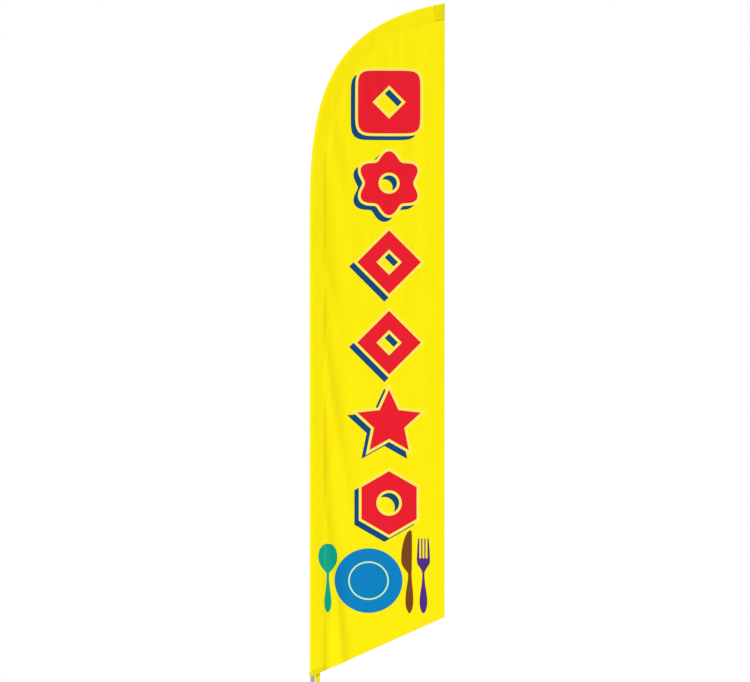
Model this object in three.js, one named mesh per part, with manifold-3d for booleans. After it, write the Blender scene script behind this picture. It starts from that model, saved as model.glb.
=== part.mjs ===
// A feather flag on a bent mast, standing on a ground spike that lets it turn with the wind.
//
// Millimetres, +Z up. The straight part of the mast is on the Z axis and the ground is z = 0.
// The flag lies in the XZ plane: its sleeve is at the mast, it reaches towards +X, and its
// front faces -Y. A "station" is a distance along the flag's outer edge, measured up from
// the ground: it is the height while the edge is straight, and follows the curve above that.

import * as THREE from "three";
import { mergeVertices } from "three/addons/utils/BufferGeometryUtils.js";
import Module from "manifold-3d";

const wasm = await Module();
wasm.setup();

// ---------------------------------------------------------------- driving dimensions

const GAP = 0.3; // between pieces that touch

// flag
const FLAG_WIDTH = 702;
const FLAG_FOOT = 1065; // height of the lowest corner, at the mast
const HEM_RISE = 315; // how much higher the outer lower corner is
const EDGE_X = -15; // the straight outer edge, beside the mast
const CURVE_START = 3481; // height where the outer edge starts to bend
const CURVE_LIFT = 563; // handle of the bend at its start, straight up
const TIP_HEIGHT = 4570;
const TIP_RUN = 629; // handle of the bend at the tip, back towards the mast
const TIP_DROP = 105;
const CLOTH = 0.6;
const SLEEVE_DEPTH = 75; // outer edge to seam
const SLEEVE_RADIUS = 15; // of the round part that holds the mast
const SLEEVE_WALL = 0.8;
const SLEEVE_STEPS = 42;
const BINDING_HEIGHT = 25;
const POCKET_LENGTH = 34;

// tension tab, eyelet and collar
const TAB_X = 27; // middle of the tab, beside the mast
const TAB_WIDTH = 24;
const TAB_THICK = 1.6;
const EYELET_Z = 928;
const EYELET_BORE = 5;
const EYELET_FLANGE = 9.5;
const COLLAR_BASE = 880;
const COLLAR_HEIGHT = 24;
const COLLAR_RADIUS = 18;
const HOOK_WIRE = 2; // radius
const HOOK_BEND = 5; // radius of its arch
const HOOK_ARCH_Z = 921; // centre of the arch
const SCREW_RADIUS = 2.5;
const KNOB_RADIUS = 10;

// mast sections, from the foot up: outer radius, inner radius, first and last station
const SECTIONS = [
  { outer: 12.5, inner: 11.3, from: 64.9, to: 1012, steps: 1, sides: 32 },
  { outer: 11.0, inner: 9.8, from: 912, to: 1960, steps: 1, sides: 32 },
  { outer: 9.5, inner: 8.3, from: 1860, to: 2908, steps: 1, sides: 24 },
  { outer: 8.0, inner: 5.6, from: 2808, to: 3856, steps: 18, sides: 12 },
  { outer: 5.0, inner: 0, from: 3756, to: 4890, steps: 22, sides: 10 },
];
const RING_HEIGHT = 14;
const RING_WALL = 2.2;
const FIBREGLASS_FROM = 3; // index of the first fibreglass section
const TIP_OFFSET = 10; // mast axis to outer edge, at the tip
const CAP_CUP = 16; // how far the tip cap takes the whip in
const CAP_LENGTH = 22;

// lock button
const BUTTON_Z = 975;
const BUTTON_RADIUS = 3.5;
const BUTTON_PROUD = 15.3; // distance of its crown from the mast's axis
const BUTTON_FOOT = 8.1; // distance of its foot flange from the axis
const SPRING_APEX_Z = 932;

// spindle, bearings and housing
const SPINDLE_RADIUS = 10;
const SPINDLE_TOP = 240;
const SEAT_Z = 62; // where the mast's foot rests
const JOURNAL_RADIUS = 5.7;
const BORE_RADIUS = 16.3; // of the housing
const RACE_INNER = 6.0;
const RACE_OUTER = 16.0;
const RACE_WIDTH = 10;
const PITCH_RADIUS = 11;
const BALL_RADIUS = 2.9;
const BALLS = 8;
const RACE_SIDES = 20;
const BEARINGS = { lower: 17.3, upper: 37.6 }; // height of each one's lower face
const HOUSING_RADIUS = 24;
const HOUSING_TOP = 55;
const FLANGE_RADIUS = 34;
const FLANGE_TOP = 10.3;
const BOLT_CIRCLE = 29;
const BOLT_RADIUS = 2.5;
const RING_GROOVE_Z = 47.9;

// step plate and spike
const PLATE_LENGTH = 150;
const PLATE_WIDTH = 78;
const PLATE_THICK = 6;
const SHAFT_RADIUS = 8;
const SPIKE_DEPTH = 600;
const POINT_LENGTH = 70;
const FIN_REACH = 30;
const FIN_DEPTH = 250;
const FIN_THICK = 4;

// ---------------------------------------------------------------- materials

function finish(color, roughness, metalness) {
  return new THREE.MeshStandardMaterial({ color, roughness, metalness });
}

const CLOTH_YELLOW = finish(0xffee01, 0.85, 0);
const WEBBING = finish(0xf4dc10, 0.9, 0);
const ALUMINIUM = finish(0xb9bcc0, 0.35, 0.9);
const FIBREGLASS = finish(0x1d1e20, 0.4, 0);
const NYLON = finish(0x17181a, 0.6, 0);
const RUBBER = finish(0x131314, 0.85, 0);
const PLATED = finish(0xc9c6bd, 0.3, 0.9);
const COATED = finish(0x202225, 0.5, 0.3);
const BEARING_STEEL = finish(0xd5d7da, 0.2, 1);

// ---------------------------------------------------------------- the flag's outline

const outlineCurve = new THREE.CubicBezierCurve3(
  new THREE.Vector3(EDGE_X, 0, CURVE_START),
  new THREE.Vector3(EDGE_X, 0, CURVE_START + CURVE_LIFT),
  new THREE.Vector3(EDGE_X + FLAG_WIDTH - TIP_RUN, 0, TIP_HEIGHT - TIP_DROP),
  new THREE.Vector3(EDGE_X + FLAG_WIDTH, 0, TIP_HEIGHT),
);
outlineCurve.arcLengthDivisions = 800;
const LAST_STATION = CURVE_START + outlineCurve.getLength();

/** Depth of the mast's axis inside the flag's outer edge: the thinner the mast, the nearer. */
function mastDepth(station) {
  const along = THREE.MathUtils.smoothstep(station, CURVE_START, LAST_STATION);
  return THREE.MathUtils.lerp(-EDGE_X, TIP_OFFSET, along);
}

/** A line that keeps a depth inside the flag's outer edge, between two stations. */
class EdgeLine extends THREE.Curve {
  constructor(from, to, depth) {
    super();
    this.from = from;
    this.to = to;
    this.depth = depth;
  }

  getPoint(t, target = new THREE.Vector3()) {
    const station = THREE.MathUtils.lerp(this.from, this.to, t);
    const depth = this.depth(station);
    if (station <= CURVE_START) {
      return target.set(EDGE_X + depth, 0, station);
    }
    const along = Math.min((station - CURVE_START) / (LAST_STATION - CURVE_START), 1);
    const tangent = outlineCurve.getTangentAt(along);
    target.copy(outlineCurve.getPointAt(along));
    return target.add(new THREE.Vector3(tangent.z, 0, -tangent.x).multiplyScalar(depth));
  }
}

/** Height of the slanting lower hem at x. */
function hemHeight(x) {
  return FLAG_FOOT + ((x - EDGE_X) / FLAG_WIDTH) * HEM_RISE;
}

// ---------------------------------------------------------------- shape helpers

function closedShape(points) {
  return new THREE.Shape(points.map(([x, y]) => new THREE.Vector2(x, y)));
}

function circleShape(radius, inner = 0) {
  const shape = new THREE.Shape();
  shape.absarc(0, 0, radius, 0, Math.PI * 2);
  if (inner > 0) {
    shape.holes.push(new THREE.Path().absarc(0, 0, inner, 0, Math.PI * 2, true));
  }
  return shape;
}

/** A shape drawn in x and z, made into a plate centred on y = 0. */
function plateXZ(shape, thickness, curveSegments = 12) {
  const options = { depth: thickness, bevelEnabled: false, curveSegments };
  const geometry = new THREE.ExtrudeGeometry(shape, options);
  geometry.translate(0, 0, -thickness / 2);
  return geometry.rotateX(Math.PI / 2);
}

/** A shape drawn in y and z, made into a plate centred on x = 0. */
function plateYZ(shape, thickness) {
  const geometry = plateXZ(shape, thickness);
  return geometry.rotateZ(Math.PI / 2);
}

/** A shape drawn in x and y, made into a plate from height z. */
function plateXY(shape, z, thickness, curveSegments = 12) {
  const options = { depth: thickness, bevelEnabled: false, curveSegments };
  return new THREE.ExtrudeGeometry(shape, options).translate(0, 0, z);
}

/** A closed profile of [radius, z] points, turned round the Z axis. */
function turned(profile, sides) {
  const points = profile.map(([r, z]) => new THREE.Vector2(r, z));
  const onAxis = profile[0][0] === 0;
  if (!onAxis) {
    points.push(points[0].clone());
  }
  return new THREE.LatheGeometry(points, sides).rotateX(Math.PI / 2);
}

function ringZ(inner, outer, z, height, sides = 24) {
  const top = z + height;
  return turned([[inner, z], [outer, z], [outer, top], [inner, top]], sides);
}

function rodZ(radius, z, height, sides = 16) {
  return turned([[0, z], [radius, z], [radius, z + height], [0, z + height]], sides);
}

/** A round bar along -Y, starting a distance from the axis, at height z. */
function rodTowardsFront(radius, start, length, z, sides = 16) {
  return rodZ(radius, start, length, sides).rotateX(Math.PI / 2).translate(0, 0, z);
}

function swept(shape, path, steps, curveSegments) {
  const options = { steps, curveSegments, extrudePath: path, bevelEnabled: false };
  return new THREE.ExtrudeGeometry(shape, options);
}

function block(x0, x1, y0, y1, z0, z1) {
  const geometry = new THREE.BoxGeometry(x1 - x0, y1 - y0, z1 - z0);
  return geometry.translate((x0 + x1) / 2, (y0 + y1) / 2, (z0 + z1) / 2);
}

// ---------------------------------------------------------------- joining and cutting

function toSolid(geometry) {
  const bare = geometry.clone();
  bare.deleteAttribute("normal");
  bare.deleteAttribute("uv");
  const merged = mergeVertices(bare, 1e-3);
  return new wasm.Manifold(
    new wasm.Mesh({
      numProp: 3,
      vertProperties: new Float32Array(merged.attributes.position.array),
      triVerts: new Uint32Array(merged.index.array),
    }),
  );
}

function toGeometry(solid) {
  const { vertProperties, triVerts } = solid.getMesh();
  const geometry = new THREE.BufferGeometry();
  geometry.setAttribute("position", new THREE.BufferAttribute(vertProperties, 3));
  geometry.setIndex(new THREE.BufferAttribute(triVerts, 1));
  geometry.computeVertexNormals();
  return geometry;
}

function joined(...geometries) {
  const [first, ...rest] = geometries.map(toSolid);
  return toGeometry(rest.reduce((sum, next) => sum.add(next), first));
}

function cut(geometry, ...tools) {
  return toGeometry(tools.map(toSolid).reduce((left, tool) => left.subtract(tool), toSolid(geometry)));
}

function common(geometry, ...others) {
  return toGeometry(others.map(toSolid).reduce((left, next) => left.intersect(next), toSolid(geometry)));
}

// ---------------------------------------------------------------- assembly

const flagWithPole = new THREE.Group();

function add(name, geometry, material, place = new THREE.Vector3()) {
  const mesh = new THREE.Mesh(geometry, material);
  mesh.name = name;
  mesh.position.copy(place);
  flagWithPole.add(mesh);
  return mesh;
}

// ---------------------------------------------------------------- flag

/** The flag's whole outline, as a plate. */
function flagBlank(thickness) {
  const right = EDGE_X + FLAG_WIDTH;
  const { v0, v1, v2, v3 } = outlineCurve;
  const shape = new THREE.Shape();
  shape.moveTo(EDGE_X, hemHeight(EDGE_X));
  shape.lineTo(right, hemHeight(right));
  shape.lineTo(v3.x, v3.z);
  shape.bezierCurveTo(v2.x, v2.z, v1.x, v1.z, v0.x, v0.z);
  return plateXZ(shape, thickness, 40);
}

/** A straight-sided piece of the flag's region, between heights above the hem and two x's. */
function hemRegion(x0, x1, above0, above1) {
  const shape = closedShape([
    [x0, hemHeight(x0) + above0],
    [x1, hemHeight(x1) + above0],
    [x1, hemHeight(x1) + above1],
    [x0, hemHeight(x0) + above1],
  ]);
  return plateXZ(shape, 4 * SLEEVE_RADIUS);
}

/** Drop-shaped section of the sleeve: x is towards the front, y is depth from the outer edge. */
function dropSection(radius, seamDepth, seamHalf) {
  const reach = seamDepth - SLEEVE_RADIUS;
  const lean = Math.asin((radius - seamHalf) / reach);
  const shape = new THREE.Shape();
  shape.moveTo(seamHalf, seamDepth);
  shape.lineTo(-seamHalf, seamDepth);
  shape.absarc(0, SLEEVE_RADIUS, radius, Math.PI - lean, Math.PI * 2 + lean, false);
  return shape;
}

function sleeveBlank(wall) {
  const outer = dropSection(SLEEVE_RADIUS, SLEEVE_DEPTH, SLEEVE_WALL);
  if (wall > 0) {
    const inside = dropSection(SLEEVE_RADIUS - wall, SLEEVE_DEPTH - 12, 0.1);
    outer.holes.push(inside);
  }
  const path = new EdgeLine(FLAG_FOOT - 40, LAST_STATION, () => 0);
  return swept(outer, path, SLEEVE_STEPS, 5);
}

function buildFlag() {
  const right = EDGE_X + FLAG_WIDTH;
  const pocketX = right - POCKET_LENGTH;
  const reach = 2 * FLAG_WIDTH;
  const tall = 2 * TIP_HEIGHT;
  const shell = sleeveBlank(SLEEVE_WALL);
  const whole = flagBlank(4 * SLEEVE_RADIUS);
  const bodyRegion = hemRegion(-reach, pocketX - GAP, BINDING_HEIGHT + GAP, tall);
  const bindingRegion = hemRegion(-reach, reach, 0, BINDING_HEIGHT);
  const pocketRegion = hemRegion(pocketX, reach, 0, tall);
  const band = swept(
    closedShape([[-20, -20], [20, -20], [20, SLEEVE_DEPTH + GAP], [-20, SLEEVE_DEPTH + GAP]]),
    new EdgeLine(FLAG_FOOT - 40, LAST_STATION, () => 0),
    SLEEVE_STEPS,
    1,
  );

  add("flag_panel", cut(flagBlank(CLOTH), band), CLOTH_YELLOW);
  add("pole_sleeve", common(shell, whole, bodyRegion), CLOTH_YELLOW);
  add("mouth_binding", common(shell, whole, bindingRegion), WEBBING);
  add("tip_pocket", common(sleeveBlank(0), whole, pocketRegion), WEBBING);
}

function buildTab() {
  const left = TAB_X - TAB_WIDTH / 2;
  const right = TAB_X + TAB_WIDTH / 2;
  const shape = new THREE.Shape();
  shape.moveTo(left, hemHeight(left) - 2 * GAP);
  shape.lineTo(left, EYELET_Z);
  shape.absarc(TAB_X, EYELET_Z, TAB_WIDTH / 2, Math.PI, Math.PI * 2, false);
  shape.lineTo(right, hemHeight(right) - 2 * GAP);
  const bore = EYELET_BORE + 1.4;
  shape.holes.push(new THREE.Path().absarc(TAB_X, EYELET_Z, bore, 0, Math.PI * 2, true));
  add("tension_tab", plateXZ(shape, TAB_THICK, 10), WEBBING);

  const face = TAB_THICK / 2 + GAP;
  const barrel = EYELET_BORE + 1.1;
  const eyelet = turned([
    [EYELET_BORE, -face - 0.6],
    [EYELET_FLANGE, -face - 0.6],
    [EYELET_FLANGE, -face],
    [barrel, -face],
    [barrel, face],
    [EYELET_FLANGE, face],
    [EYELET_FLANGE, face + 0.6],
    [EYELET_BORE, face + 0.6],
  ], 16);
  add("tab_grommet", eyelet.rotateX(Math.PI / 2), PLATED, new THREE.Vector3(TAB_X, 0, EYELET_Z));
}

// ---------------------------------------------------------------- tension collar

/** The hook's wire: up behind the tab, over through the eyelet, and down in front of it. */
class HookLine extends THREE.Curve {
  getPoint(t, target = new THREE.Vector3()) {
    const start = COLLAR_BASE + 6;
    const rise = HOOK_ARCH_Z - start;
    const arch = Math.PI * HOOK_BEND;
    const drop = 8;
    const run = t * (rise + arch + drop);
    if (run < rise) {
      return target.set(TAB_X, HOOK_BEND, start + run);
    }
    if (run < rise + arch) {
      const angle = (run - rise) / HOOK_BEND;
      return target.set(
        TAB_X,
        HOOK_BEND * Math.cos(angle),
        HOOK_ARCH_Z + HOOK_BEND * Math.sin(angle),
      );
    }
    return target.set(TAB_X, -HOOK_BEND, HOOK_ARCH_Z - (run - rise - arch));
  }
}

function buildCollar() {
  const mast = SECTIONS[0].outer + GAP;
  const middle = COLLAR_BASE + COLLAR_HEIGHT / 2;
  const top = COLLAR_BASE + COLLAR_HEIGHT;
  const wire = HOOK_WIRE + GAP;
  const bossEnd = 25;
  const body = joined(
    rodZ(COLLAR_RADIUS, COLLAR_BASE, COLLAR_HEIGHT, 32),
    block(8, TAB_X + 9, -4, HOOK_BEND + 6, COLLAR_BASE, top),
    rodTowardsFront(8, 10, bossEnd - 10, middle, 20),
  );
  const collar = cut(
    body,
    rodZ(mast, COLLAR_BASE - 5, COLLAR_HEIGHT + 10, 32),
    rodTowardsFront(SCREW_RADIUS + GAP, 5, bossEnd, middle, 16),
    rodZ(wire, COLLAR_BASE + 5, COLLAR_HEIGHT, 12).translate(TAB_X, HOOK_BEND, 0),
  );
  add("hook_collar", collar, NYLON);
  add("tension_hook", swept(circleShape(HOOK_WIRE), new HookLine(), 22, 4), PLATED);

  const knobStart = bossEnd + 1;
  const grips = 10;
  const knob = new THREE.Shape();
  for (let i = 0; i < grips * 2; i += 1) {
    const angle = (i * Math.PI) / grips;
    const radius = i % 2 ? KNOB_RADIUS : KNOB_RADIUS - 1.2;
    const point = [radius * Math.cos(angle), radius * Math.sin(angle)];
    if (i === 0) {
      knob.moveTo(...point);
    } else {
      knob.lineTo(...point);
    }
  }
  const screw = joined(
    rodZ(SCREW_RADIUS, mast + 0.1, bossEnd - mast + 4, 16),
    plateXY(knob, knobStart, 10),
    rodZ(KNOB_RADIUS - 3, knobStart + 9, 3, 20),
  );
  add("thumbscrew", screw.rotateX(Math.PI / 2), NYLON, new THREE.Vector3(0, 0, middle));
}

// ---------------------------------------------------------------- mast

function mastSection(section) {
  const path = new EdgeLine(section.from, section.to, mastDepth);
  return swept(circleShape(section.outer, section.inner), path, section.steps, section.sides / 2);
}

function buildMast() {
  const buttonHole = rodTowardsFront(BUTTON_RADIUS + 0.4, 5, 15, BUTTON_Z, 16);
  SECTIONS.forEach((section, index) => {
    const tube = mastSection(section);
    const drilled = index < 2 ? cut(tube, buttonHole) : tube;
    const material = index < FIBREGLASS_FROM ? ALUMINIUM : FIBREGLASS;
    add(`pole_section_${index + 1}`, drilled, material);
  });
  for (let i = 1; i < SECTIONS.length; i += 1) {
    const rim = SECTIONS[i - 1].to + GAP;
    const bent = rim > CURVE_START;
    const inner = SECTIONS[i].outer + (bent ? 2 * GAP : GAP);
    const path = new EdgeLine(rim, rim + RING_HEIGHT, mastDepth);
    const ring = swept(circleShape(inner + RING_WALL, inner), path, 1, 8);
    add(`stop_ring_${i}`, ring, NYLON);
  }
}

function buildTipCap() {
  const whip = SECTIONS[SECTIONS.length - 1];
  const line = new EdgeLine(whip.from, whip.to, mastDepth);
  const bore = whip.outer + 2 * GAP;
  const cap = turned([
    [0, CAP_CUP],
    [bore, CAP_CUP],
    [bore, 0],
    [bore + 1.5, 0],
    [bore + 1.5, CAP_CUP],
    [bore, CAP_LENGTH - 1.5],
    [0, CAP_LENGTH],
  ], 16);
  const mesh = add("tip_cap", cap, RUBBER);
  const tangent = line.getPoint(1).sub(line.getPoint(0.98)).normalize();
  mesh.quaternion.setFromUnitVectors(new THREE.Vector3(0, 0, 1), tangent);
  mesh.position.copy(line.getPoint(1)).addScaledVector(tangent, -(CAP_CUP - 2 * GAP));
}

function buildLockButton() {
  const stem = BUTTON_PROUD - BUTTON_FOOT;
  const button = turned([
    [0, BUTTON_FOOT - 1],
    [5, BUTTON_FOOT - 1],
    [5, BUTTON_FOOT],
    [BUTTON_RADIUS, BUTTON_FOOT],
    [BUTTON_RADIUS, BUTTON_FOOT + stem - 1.4],
    [BUTTON_RADIUS * 0.7, BUTTON_FOOT + stem - 0.4],
    [0, BUTTON_PROUD],
  ], 16);
  add("lock_button", button.rotateX(Math.PI / 2), PLATED, new THREE.Vector3(0, 0, BUTTON_Z));

  const thick = 0.7;
  const top = BUTTON_Z + 10;
  const frontY = -(BUTTON_FOOT - 1) + GAP;
  const backY = SECTIONS[1].inner - 1.4;
  const leaf = closedShape([
    [frontY, top],
    [-thick / 2, SPRING_APEX_Z],
    [thick / 2, SPRING_APEX_Z],
    [backY, top],
    [backY - thick, top],
    [0, SPRING_APEX_Z + 2 * thick],
    [frontY + thick, top],
  ]);
  add("button_spring", plateYZ(leaf, 6), PLATED);
}

function buildBushes() {
  const inner = SPINDLE_RADIUS + GAP;
  const outer = SECTIONS[0].inner - GAP;
  const seat = SEAT_Z + GAP;
  const rim = SECTIONS[0].from - GAP;
  const foot = turned([
    [inner, seat],
    [SECTIONS[0].outer + 1.5, seat],
    [SECTIONS[0].outer + 1.5, rim],
    [outer, rim],
    [outer, 95],
    [inner, 95],
  ], 24);
  add("foot_bush", foot, NYLON);
  add("guide_bush", ringZ(inner, outer, SPINDLE_TOP - 35, 27), NYLON);
}

// ---------------------------------------------------------------- bearing and spindle

/** Closed profile of a bearing race, with the ball groove in the side that faces the balls. */
function raceProfile(wall, grooved, z) {
  const groove = BALL_RADIUS + GAP;
  const side = Math.sign(grooved - PITCH_RADIUS);
  const half = Math.acos(Math.abs(grooved - PITCH_RADIUS) / groove);
  const middle = z + RACE_WIDTH / 2;
  const arc = [];
  for (let i = 0; i <= 4; i += 1) {
    const angle = THREE.MathUtils.lerp(-half, half, i / 4);
    arc.push([PITCH_RADIUS + side * groove * Math.cos(angle), middle + groove * Math.sin(angle)]);
  }
  const top = z + RACE_WIDTH;
  return side < 0
    ? [[wall, z], [grooved, z], ...arc, [grooved, top], [wall, top]]
    : [[wall, z], [wall, top], [grooved, top], ...arc.reverse(), [grooved, z]];
}

function ballCage(z) {
  const middle = z + RACE_WIDTH / 2;
  const pieces = [ringZ(PITCH_RADIUS - 0.8, PITCH_RADIUS + 0.8, middle - 1.3, 2.6, RACE_SIDES)];
  for (let i = 0; i < BALLS; i += 1) {
    const angle = (i * 2 * Math.PI) / BALLS;
    const ball = new THREE.SphereGeometry(BALL_RADIUS, 8, 5);
    pieces.push(
      ball.translate(PITCH_RADIUS * Math.cos(angle), PITCH_RADIUS * Math.sin(angle), middle),
    );
  }
  return joined(...pieces);
}

function buildBearings() {
  const innerRim = PITCH_RADIUS - 1.9;
  const outerRim = PITCH_RADIUS + 1.9;
  for (const [place, z] of Object.entries(BEARINGS)) {
    add(`${place}_inner_race`, turned(raceProfile(RACE_INNER, innerRim, z), RACE_SIDES), BEARING_STEEL);
    add(`${place}_outer_race`, turned(raceProfile(RACE_OUTER, outerRim, z), RACE_SIDES), BEARING_STEEL);
    add(`${place}_ball_cage`, ballCage(z), BEARING_STEEL);
  }
  const from = BEARINGS.lower + RACE_WIDTH + GAP;
  const height = BEARINGS.upper - GAP - from;
  add("inner_spacer", ringZ(RACE_INNER, innerRim, from, height), PLATED);
  add("outer_spacer", ringZ(outerRim, RACE_OUTER, from, height), PLATED);
}

function buildHousing() {
  const ledge = BEARINGS.lower - GAP;
  const floor = PLATE_THICK + 5.3;
  const base = PLATE_THICK + GAP;
  const groove = BORE_RADIUS + 1;
  const shell = turned([
    [0, base],
    [FLANGE_RADIUS, base],
    [FLANGE_RADIUS, FLANGE_TOP],
    [HOUSING_RADIUS, FLANGE_TOP],
    [HOUSING_RADIUS, HOUSING_TOP - 2],
    [HOUSING_RADIUS - 2, HOUSING_TOP],
    [BORE_RADIUS, HOUSING_TOP],
    [BORE_RADIUS, RING_GROOVE_Z + 1.6],
    [groove, RING_GROOVE_Z + 1.6],
    [groove, RING_GROOVE_Z],
    [BORE_RADIUS, RING_GROOVE_Z],
    [BORE_RADIUS, ledge],
    [11.5, ledge],
    [11.5, floor],
    [0, floor],
  ], 24);
  add("bearing_housing", cut(shell, ...boltHoles(base - 1, 6)), COATED);

  const clip = new THREE.Shape();
  const opening = 0.35;
  clip.absarc(0, 0, groove - GAP, opening, Math.PI * 2 - opening, false);
  clip.absarc(0, 0, 14, Math.PI * 2 - opening, opening, true);
  add("retaining_ring", plateXY(clip, RING_GROOVE_Z + GAP, 1, 12), PLATED);
}

function boltPlaces() {
  return [0, 1, 2, 3].map((i) => {
    const angle = Math.PI / 4 + (i * Math.PI) / 2;
    return [BOLT_CIRCLE * Math.cos(angle), BOLT_CIRCLE * Math.sin(angle)];
  });
}

function boltHoles(z, height) {
  return boltPlaces().map(([x, y]) => rodZ(BOLT_RADIUS + GAP, z, height, 12).translate(x, y, 0));
}

function buildBolts() {
  const seat = FLANGE_TOP + GAP;
  boltPlaces().forEach(([x, y], index) => {
    const bolt = joined(rodZ(BOLT_RADIUS, 1.4, seat, 12), rodZ(4.6, seat, 3.6, 6));
    add(`housing_bolt_${index + 1}`, bolt, PLATED, new THREE.Vector3(x, y, 0));
  });
}

function buildSpindle() {
  const shoulder = BEARINGS.upper + RACE_WIDTH + GAP;
  const threadTop = BEARINGS.lower - GAP;
  const spindle = turned([
    [0, 12],
    [5, 12],
    [5, threadTop],
    [JOURNAL_RADIUS, threadTop],
    [JOURNAL_RADIUS, shoulder],
    [9, shoulder],
    [9, SEAT_Z - 4],
    [14, SEAT_Z - 4],
    [14, SEAT_Z],
    [SPINDLE_RADIUS, SEAT_Z],
    [SPINDLE_RADIUS, SPINDLE_TOP - 6],
    [SPINDLE_RADIUS - 2, SPINDLE_TOP],
    [0, SPINDLE_TOP],
  ], 24);
  add("spindle", spindle, PLATED);

  const nut = cut(rodZ(9.6, 12.3, 4.4, 6), rodZ(5 + GAP, 10, 10, 16));
  add("spindle_nut", nut, PLATED);

  const under = HOUSING_TOP + 0.6;
  const cap = turned([
    [9 + GAP, under],
    [HOUSING_RADIUS + 1, under],
    [HOUSING_RADIUS + 1, under - 12],
    [HOUSING_RADIUS + 3, under - 12],
    [HOUSING_RADIUS + 3, under + 0.8],
    [HOUSING_RADIUS + 2, under + 2],
    [9 + GAP, under + 2],
  ], 24);
  add("dust_cap", cap, NYLON);
}

// ---------------------------------------------------------------- spike

function roundedPlate(length, width, radius) {
  const x = length / 2 - radius;
  const y = width / 2 - radius;
  const shape = new THREE.Shape();
  shape.absarc(x, y, radius, 0, Math.PI / 2);
  shape.absarc(-x, y, radius, Math.PI / 2, Math.PI);
  shape.absarc(-x, -y, radius, Math.PI, Math.PI * 1.5);
  shape.absarc(x, -y, radius, Math.PI * 1.5, Math.PI * 2);
  return shape;
}

function buildSpike() {
  const plateShape = roundedPlate(PLATE_LENGTH, PLATE_WIDTH, 12);
  const plate = cut(
    plateXY(plateShape, 0, PLATE_THICK, 5),
    rodZ(SHAFT_RADIUS + GAP, -5, 20),
    ...boltHoles(1, 10),
  );
  add("step_plate", plate, COATED);

  const shaft = turned([
    [0, -SPIKE_DEPTH],
    [SHAFT_RADIUS, POINT_LENGTH - SPIKE_DEPTH],
    [SHAFT_RADIUS, PLATE_THICK - GAP],
    [0, PLATE_THICK - GAP],
  ], 16);
  add("spike_shaft", shaft, COATED);

  const root = SHAFT_RADIUS + GAP;
  const blade = closedShape([
    [root, -GAP],
    [root, -FIN_DEPTH],
    [root + 4, -FIN_DEPTH],
    [FIN_REACH, -FIN_DEPTH / 2],
    [FIN_REACH, -GAP],
  ]);
  for (let i = 0; i < 4; i += 1) {
    const fin = add(`spike_fin_${i + 1}`, plateXZ(blade, FIN_THICK), COATED);
    fin.rotation.z = Math.PI / 4 + (i * Math.PI) / 2;
  }
}

buildFlag();
buildTab();
buildCollar();
buildMast();
buildTipCap();
buildLockButton();
buildBushes();
buildBearings();
buildHousing();
buildBolts();
buildSpindle();
buildSpike();

export default flagWithPole;
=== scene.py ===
"""Looks of a feather flag with its mast and ground spike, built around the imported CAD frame.

Everything is in metres, in the CAD's frame: +Z up, the mast's straight axis on Z, the ground at
z = 0, the flag towards +X with its printed front facing -Y. A "station" is a distance along the
flag's outer edge, measured up from the ground, and a "depth" is a distance inside that edge.
"""

import contextlib
import math

import bmesh
import bpy
import numpy as np
from mathutils import Matrix, Vector, kdtree
from mathutils.geometry import delaunay_2d_cdt


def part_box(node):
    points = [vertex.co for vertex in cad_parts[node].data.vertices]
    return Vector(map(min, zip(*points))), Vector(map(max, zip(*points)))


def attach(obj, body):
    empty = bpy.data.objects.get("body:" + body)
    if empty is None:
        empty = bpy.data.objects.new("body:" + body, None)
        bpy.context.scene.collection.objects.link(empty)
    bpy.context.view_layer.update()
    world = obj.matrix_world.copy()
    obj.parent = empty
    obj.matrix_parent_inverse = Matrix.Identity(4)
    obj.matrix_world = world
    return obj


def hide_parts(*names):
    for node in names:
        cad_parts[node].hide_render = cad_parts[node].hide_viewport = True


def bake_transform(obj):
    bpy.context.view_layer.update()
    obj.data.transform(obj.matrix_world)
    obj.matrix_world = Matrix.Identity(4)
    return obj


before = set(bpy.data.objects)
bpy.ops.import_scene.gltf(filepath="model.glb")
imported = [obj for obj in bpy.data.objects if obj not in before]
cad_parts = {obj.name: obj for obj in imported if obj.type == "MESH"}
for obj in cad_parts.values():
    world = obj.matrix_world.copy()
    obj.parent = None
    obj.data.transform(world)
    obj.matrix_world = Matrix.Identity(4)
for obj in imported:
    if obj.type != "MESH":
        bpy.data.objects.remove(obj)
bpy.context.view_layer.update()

MM = 0.001
TURN = 2 * math.pi

# ---- places, from the frame

EDGE_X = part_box("pole_sleeve")[0].x
RIGHT_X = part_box("flag_panel")[1].x
FOOT_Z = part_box("mouth_binding")[0].z
TIP_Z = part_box("tip_pocket")[1].z
FLAG_WIDTH = RIGHT_X - EDGE_X
FLAG_HEIGHT = TIP_Z - FOOT_Z
SPIKE_TIP_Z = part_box("spike_shaft")[0].z

HEM_RISE = 315 * MM  # how much higher the outer lower corner is
CURVE_START = FOOT_Z + 2416 * MM
CURVE_LIFT = 563 * MM  # this and the next two place the edge curve's handles
TIP_RUN = 629 * MM
TIP_DROP = 105 * MM

SEAM_DEPTH = 75 * MM
NOSE_STRAIGHT = 13.9 * MM  # radius of the cloth round the mast, along its straight part
NOSE_TIP = 9.6 * MM
CLOSING = 36 * MM  # the sleeve's last stretch, where it flattens and is sewn shut
SLEEVE_SLACK = 0.3 * MM
FAN_LENGTH = 120 * MM  # over which the sleeve's rows turn to meet its slanting ends
CLOTH = 0.4 * MM  # its thickness
JOIN_DEPTH = 30 * MM  # where the wrapped part of the sleeve meets the flat cloth's mesh


# ---- the flag's outline

def unit(vectors):
    """Rows of vectors, each made one long."""
    return vectors / np.linalg.norm(vectors, axis=1)[:, None]


def run_along(points):
    """Distance travelled along a line at each of its points."""
    return np.concatenate([[0.0], np.cumsum(np.linalg.norm(np.diff(points, axis=0), axis=1))])


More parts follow.
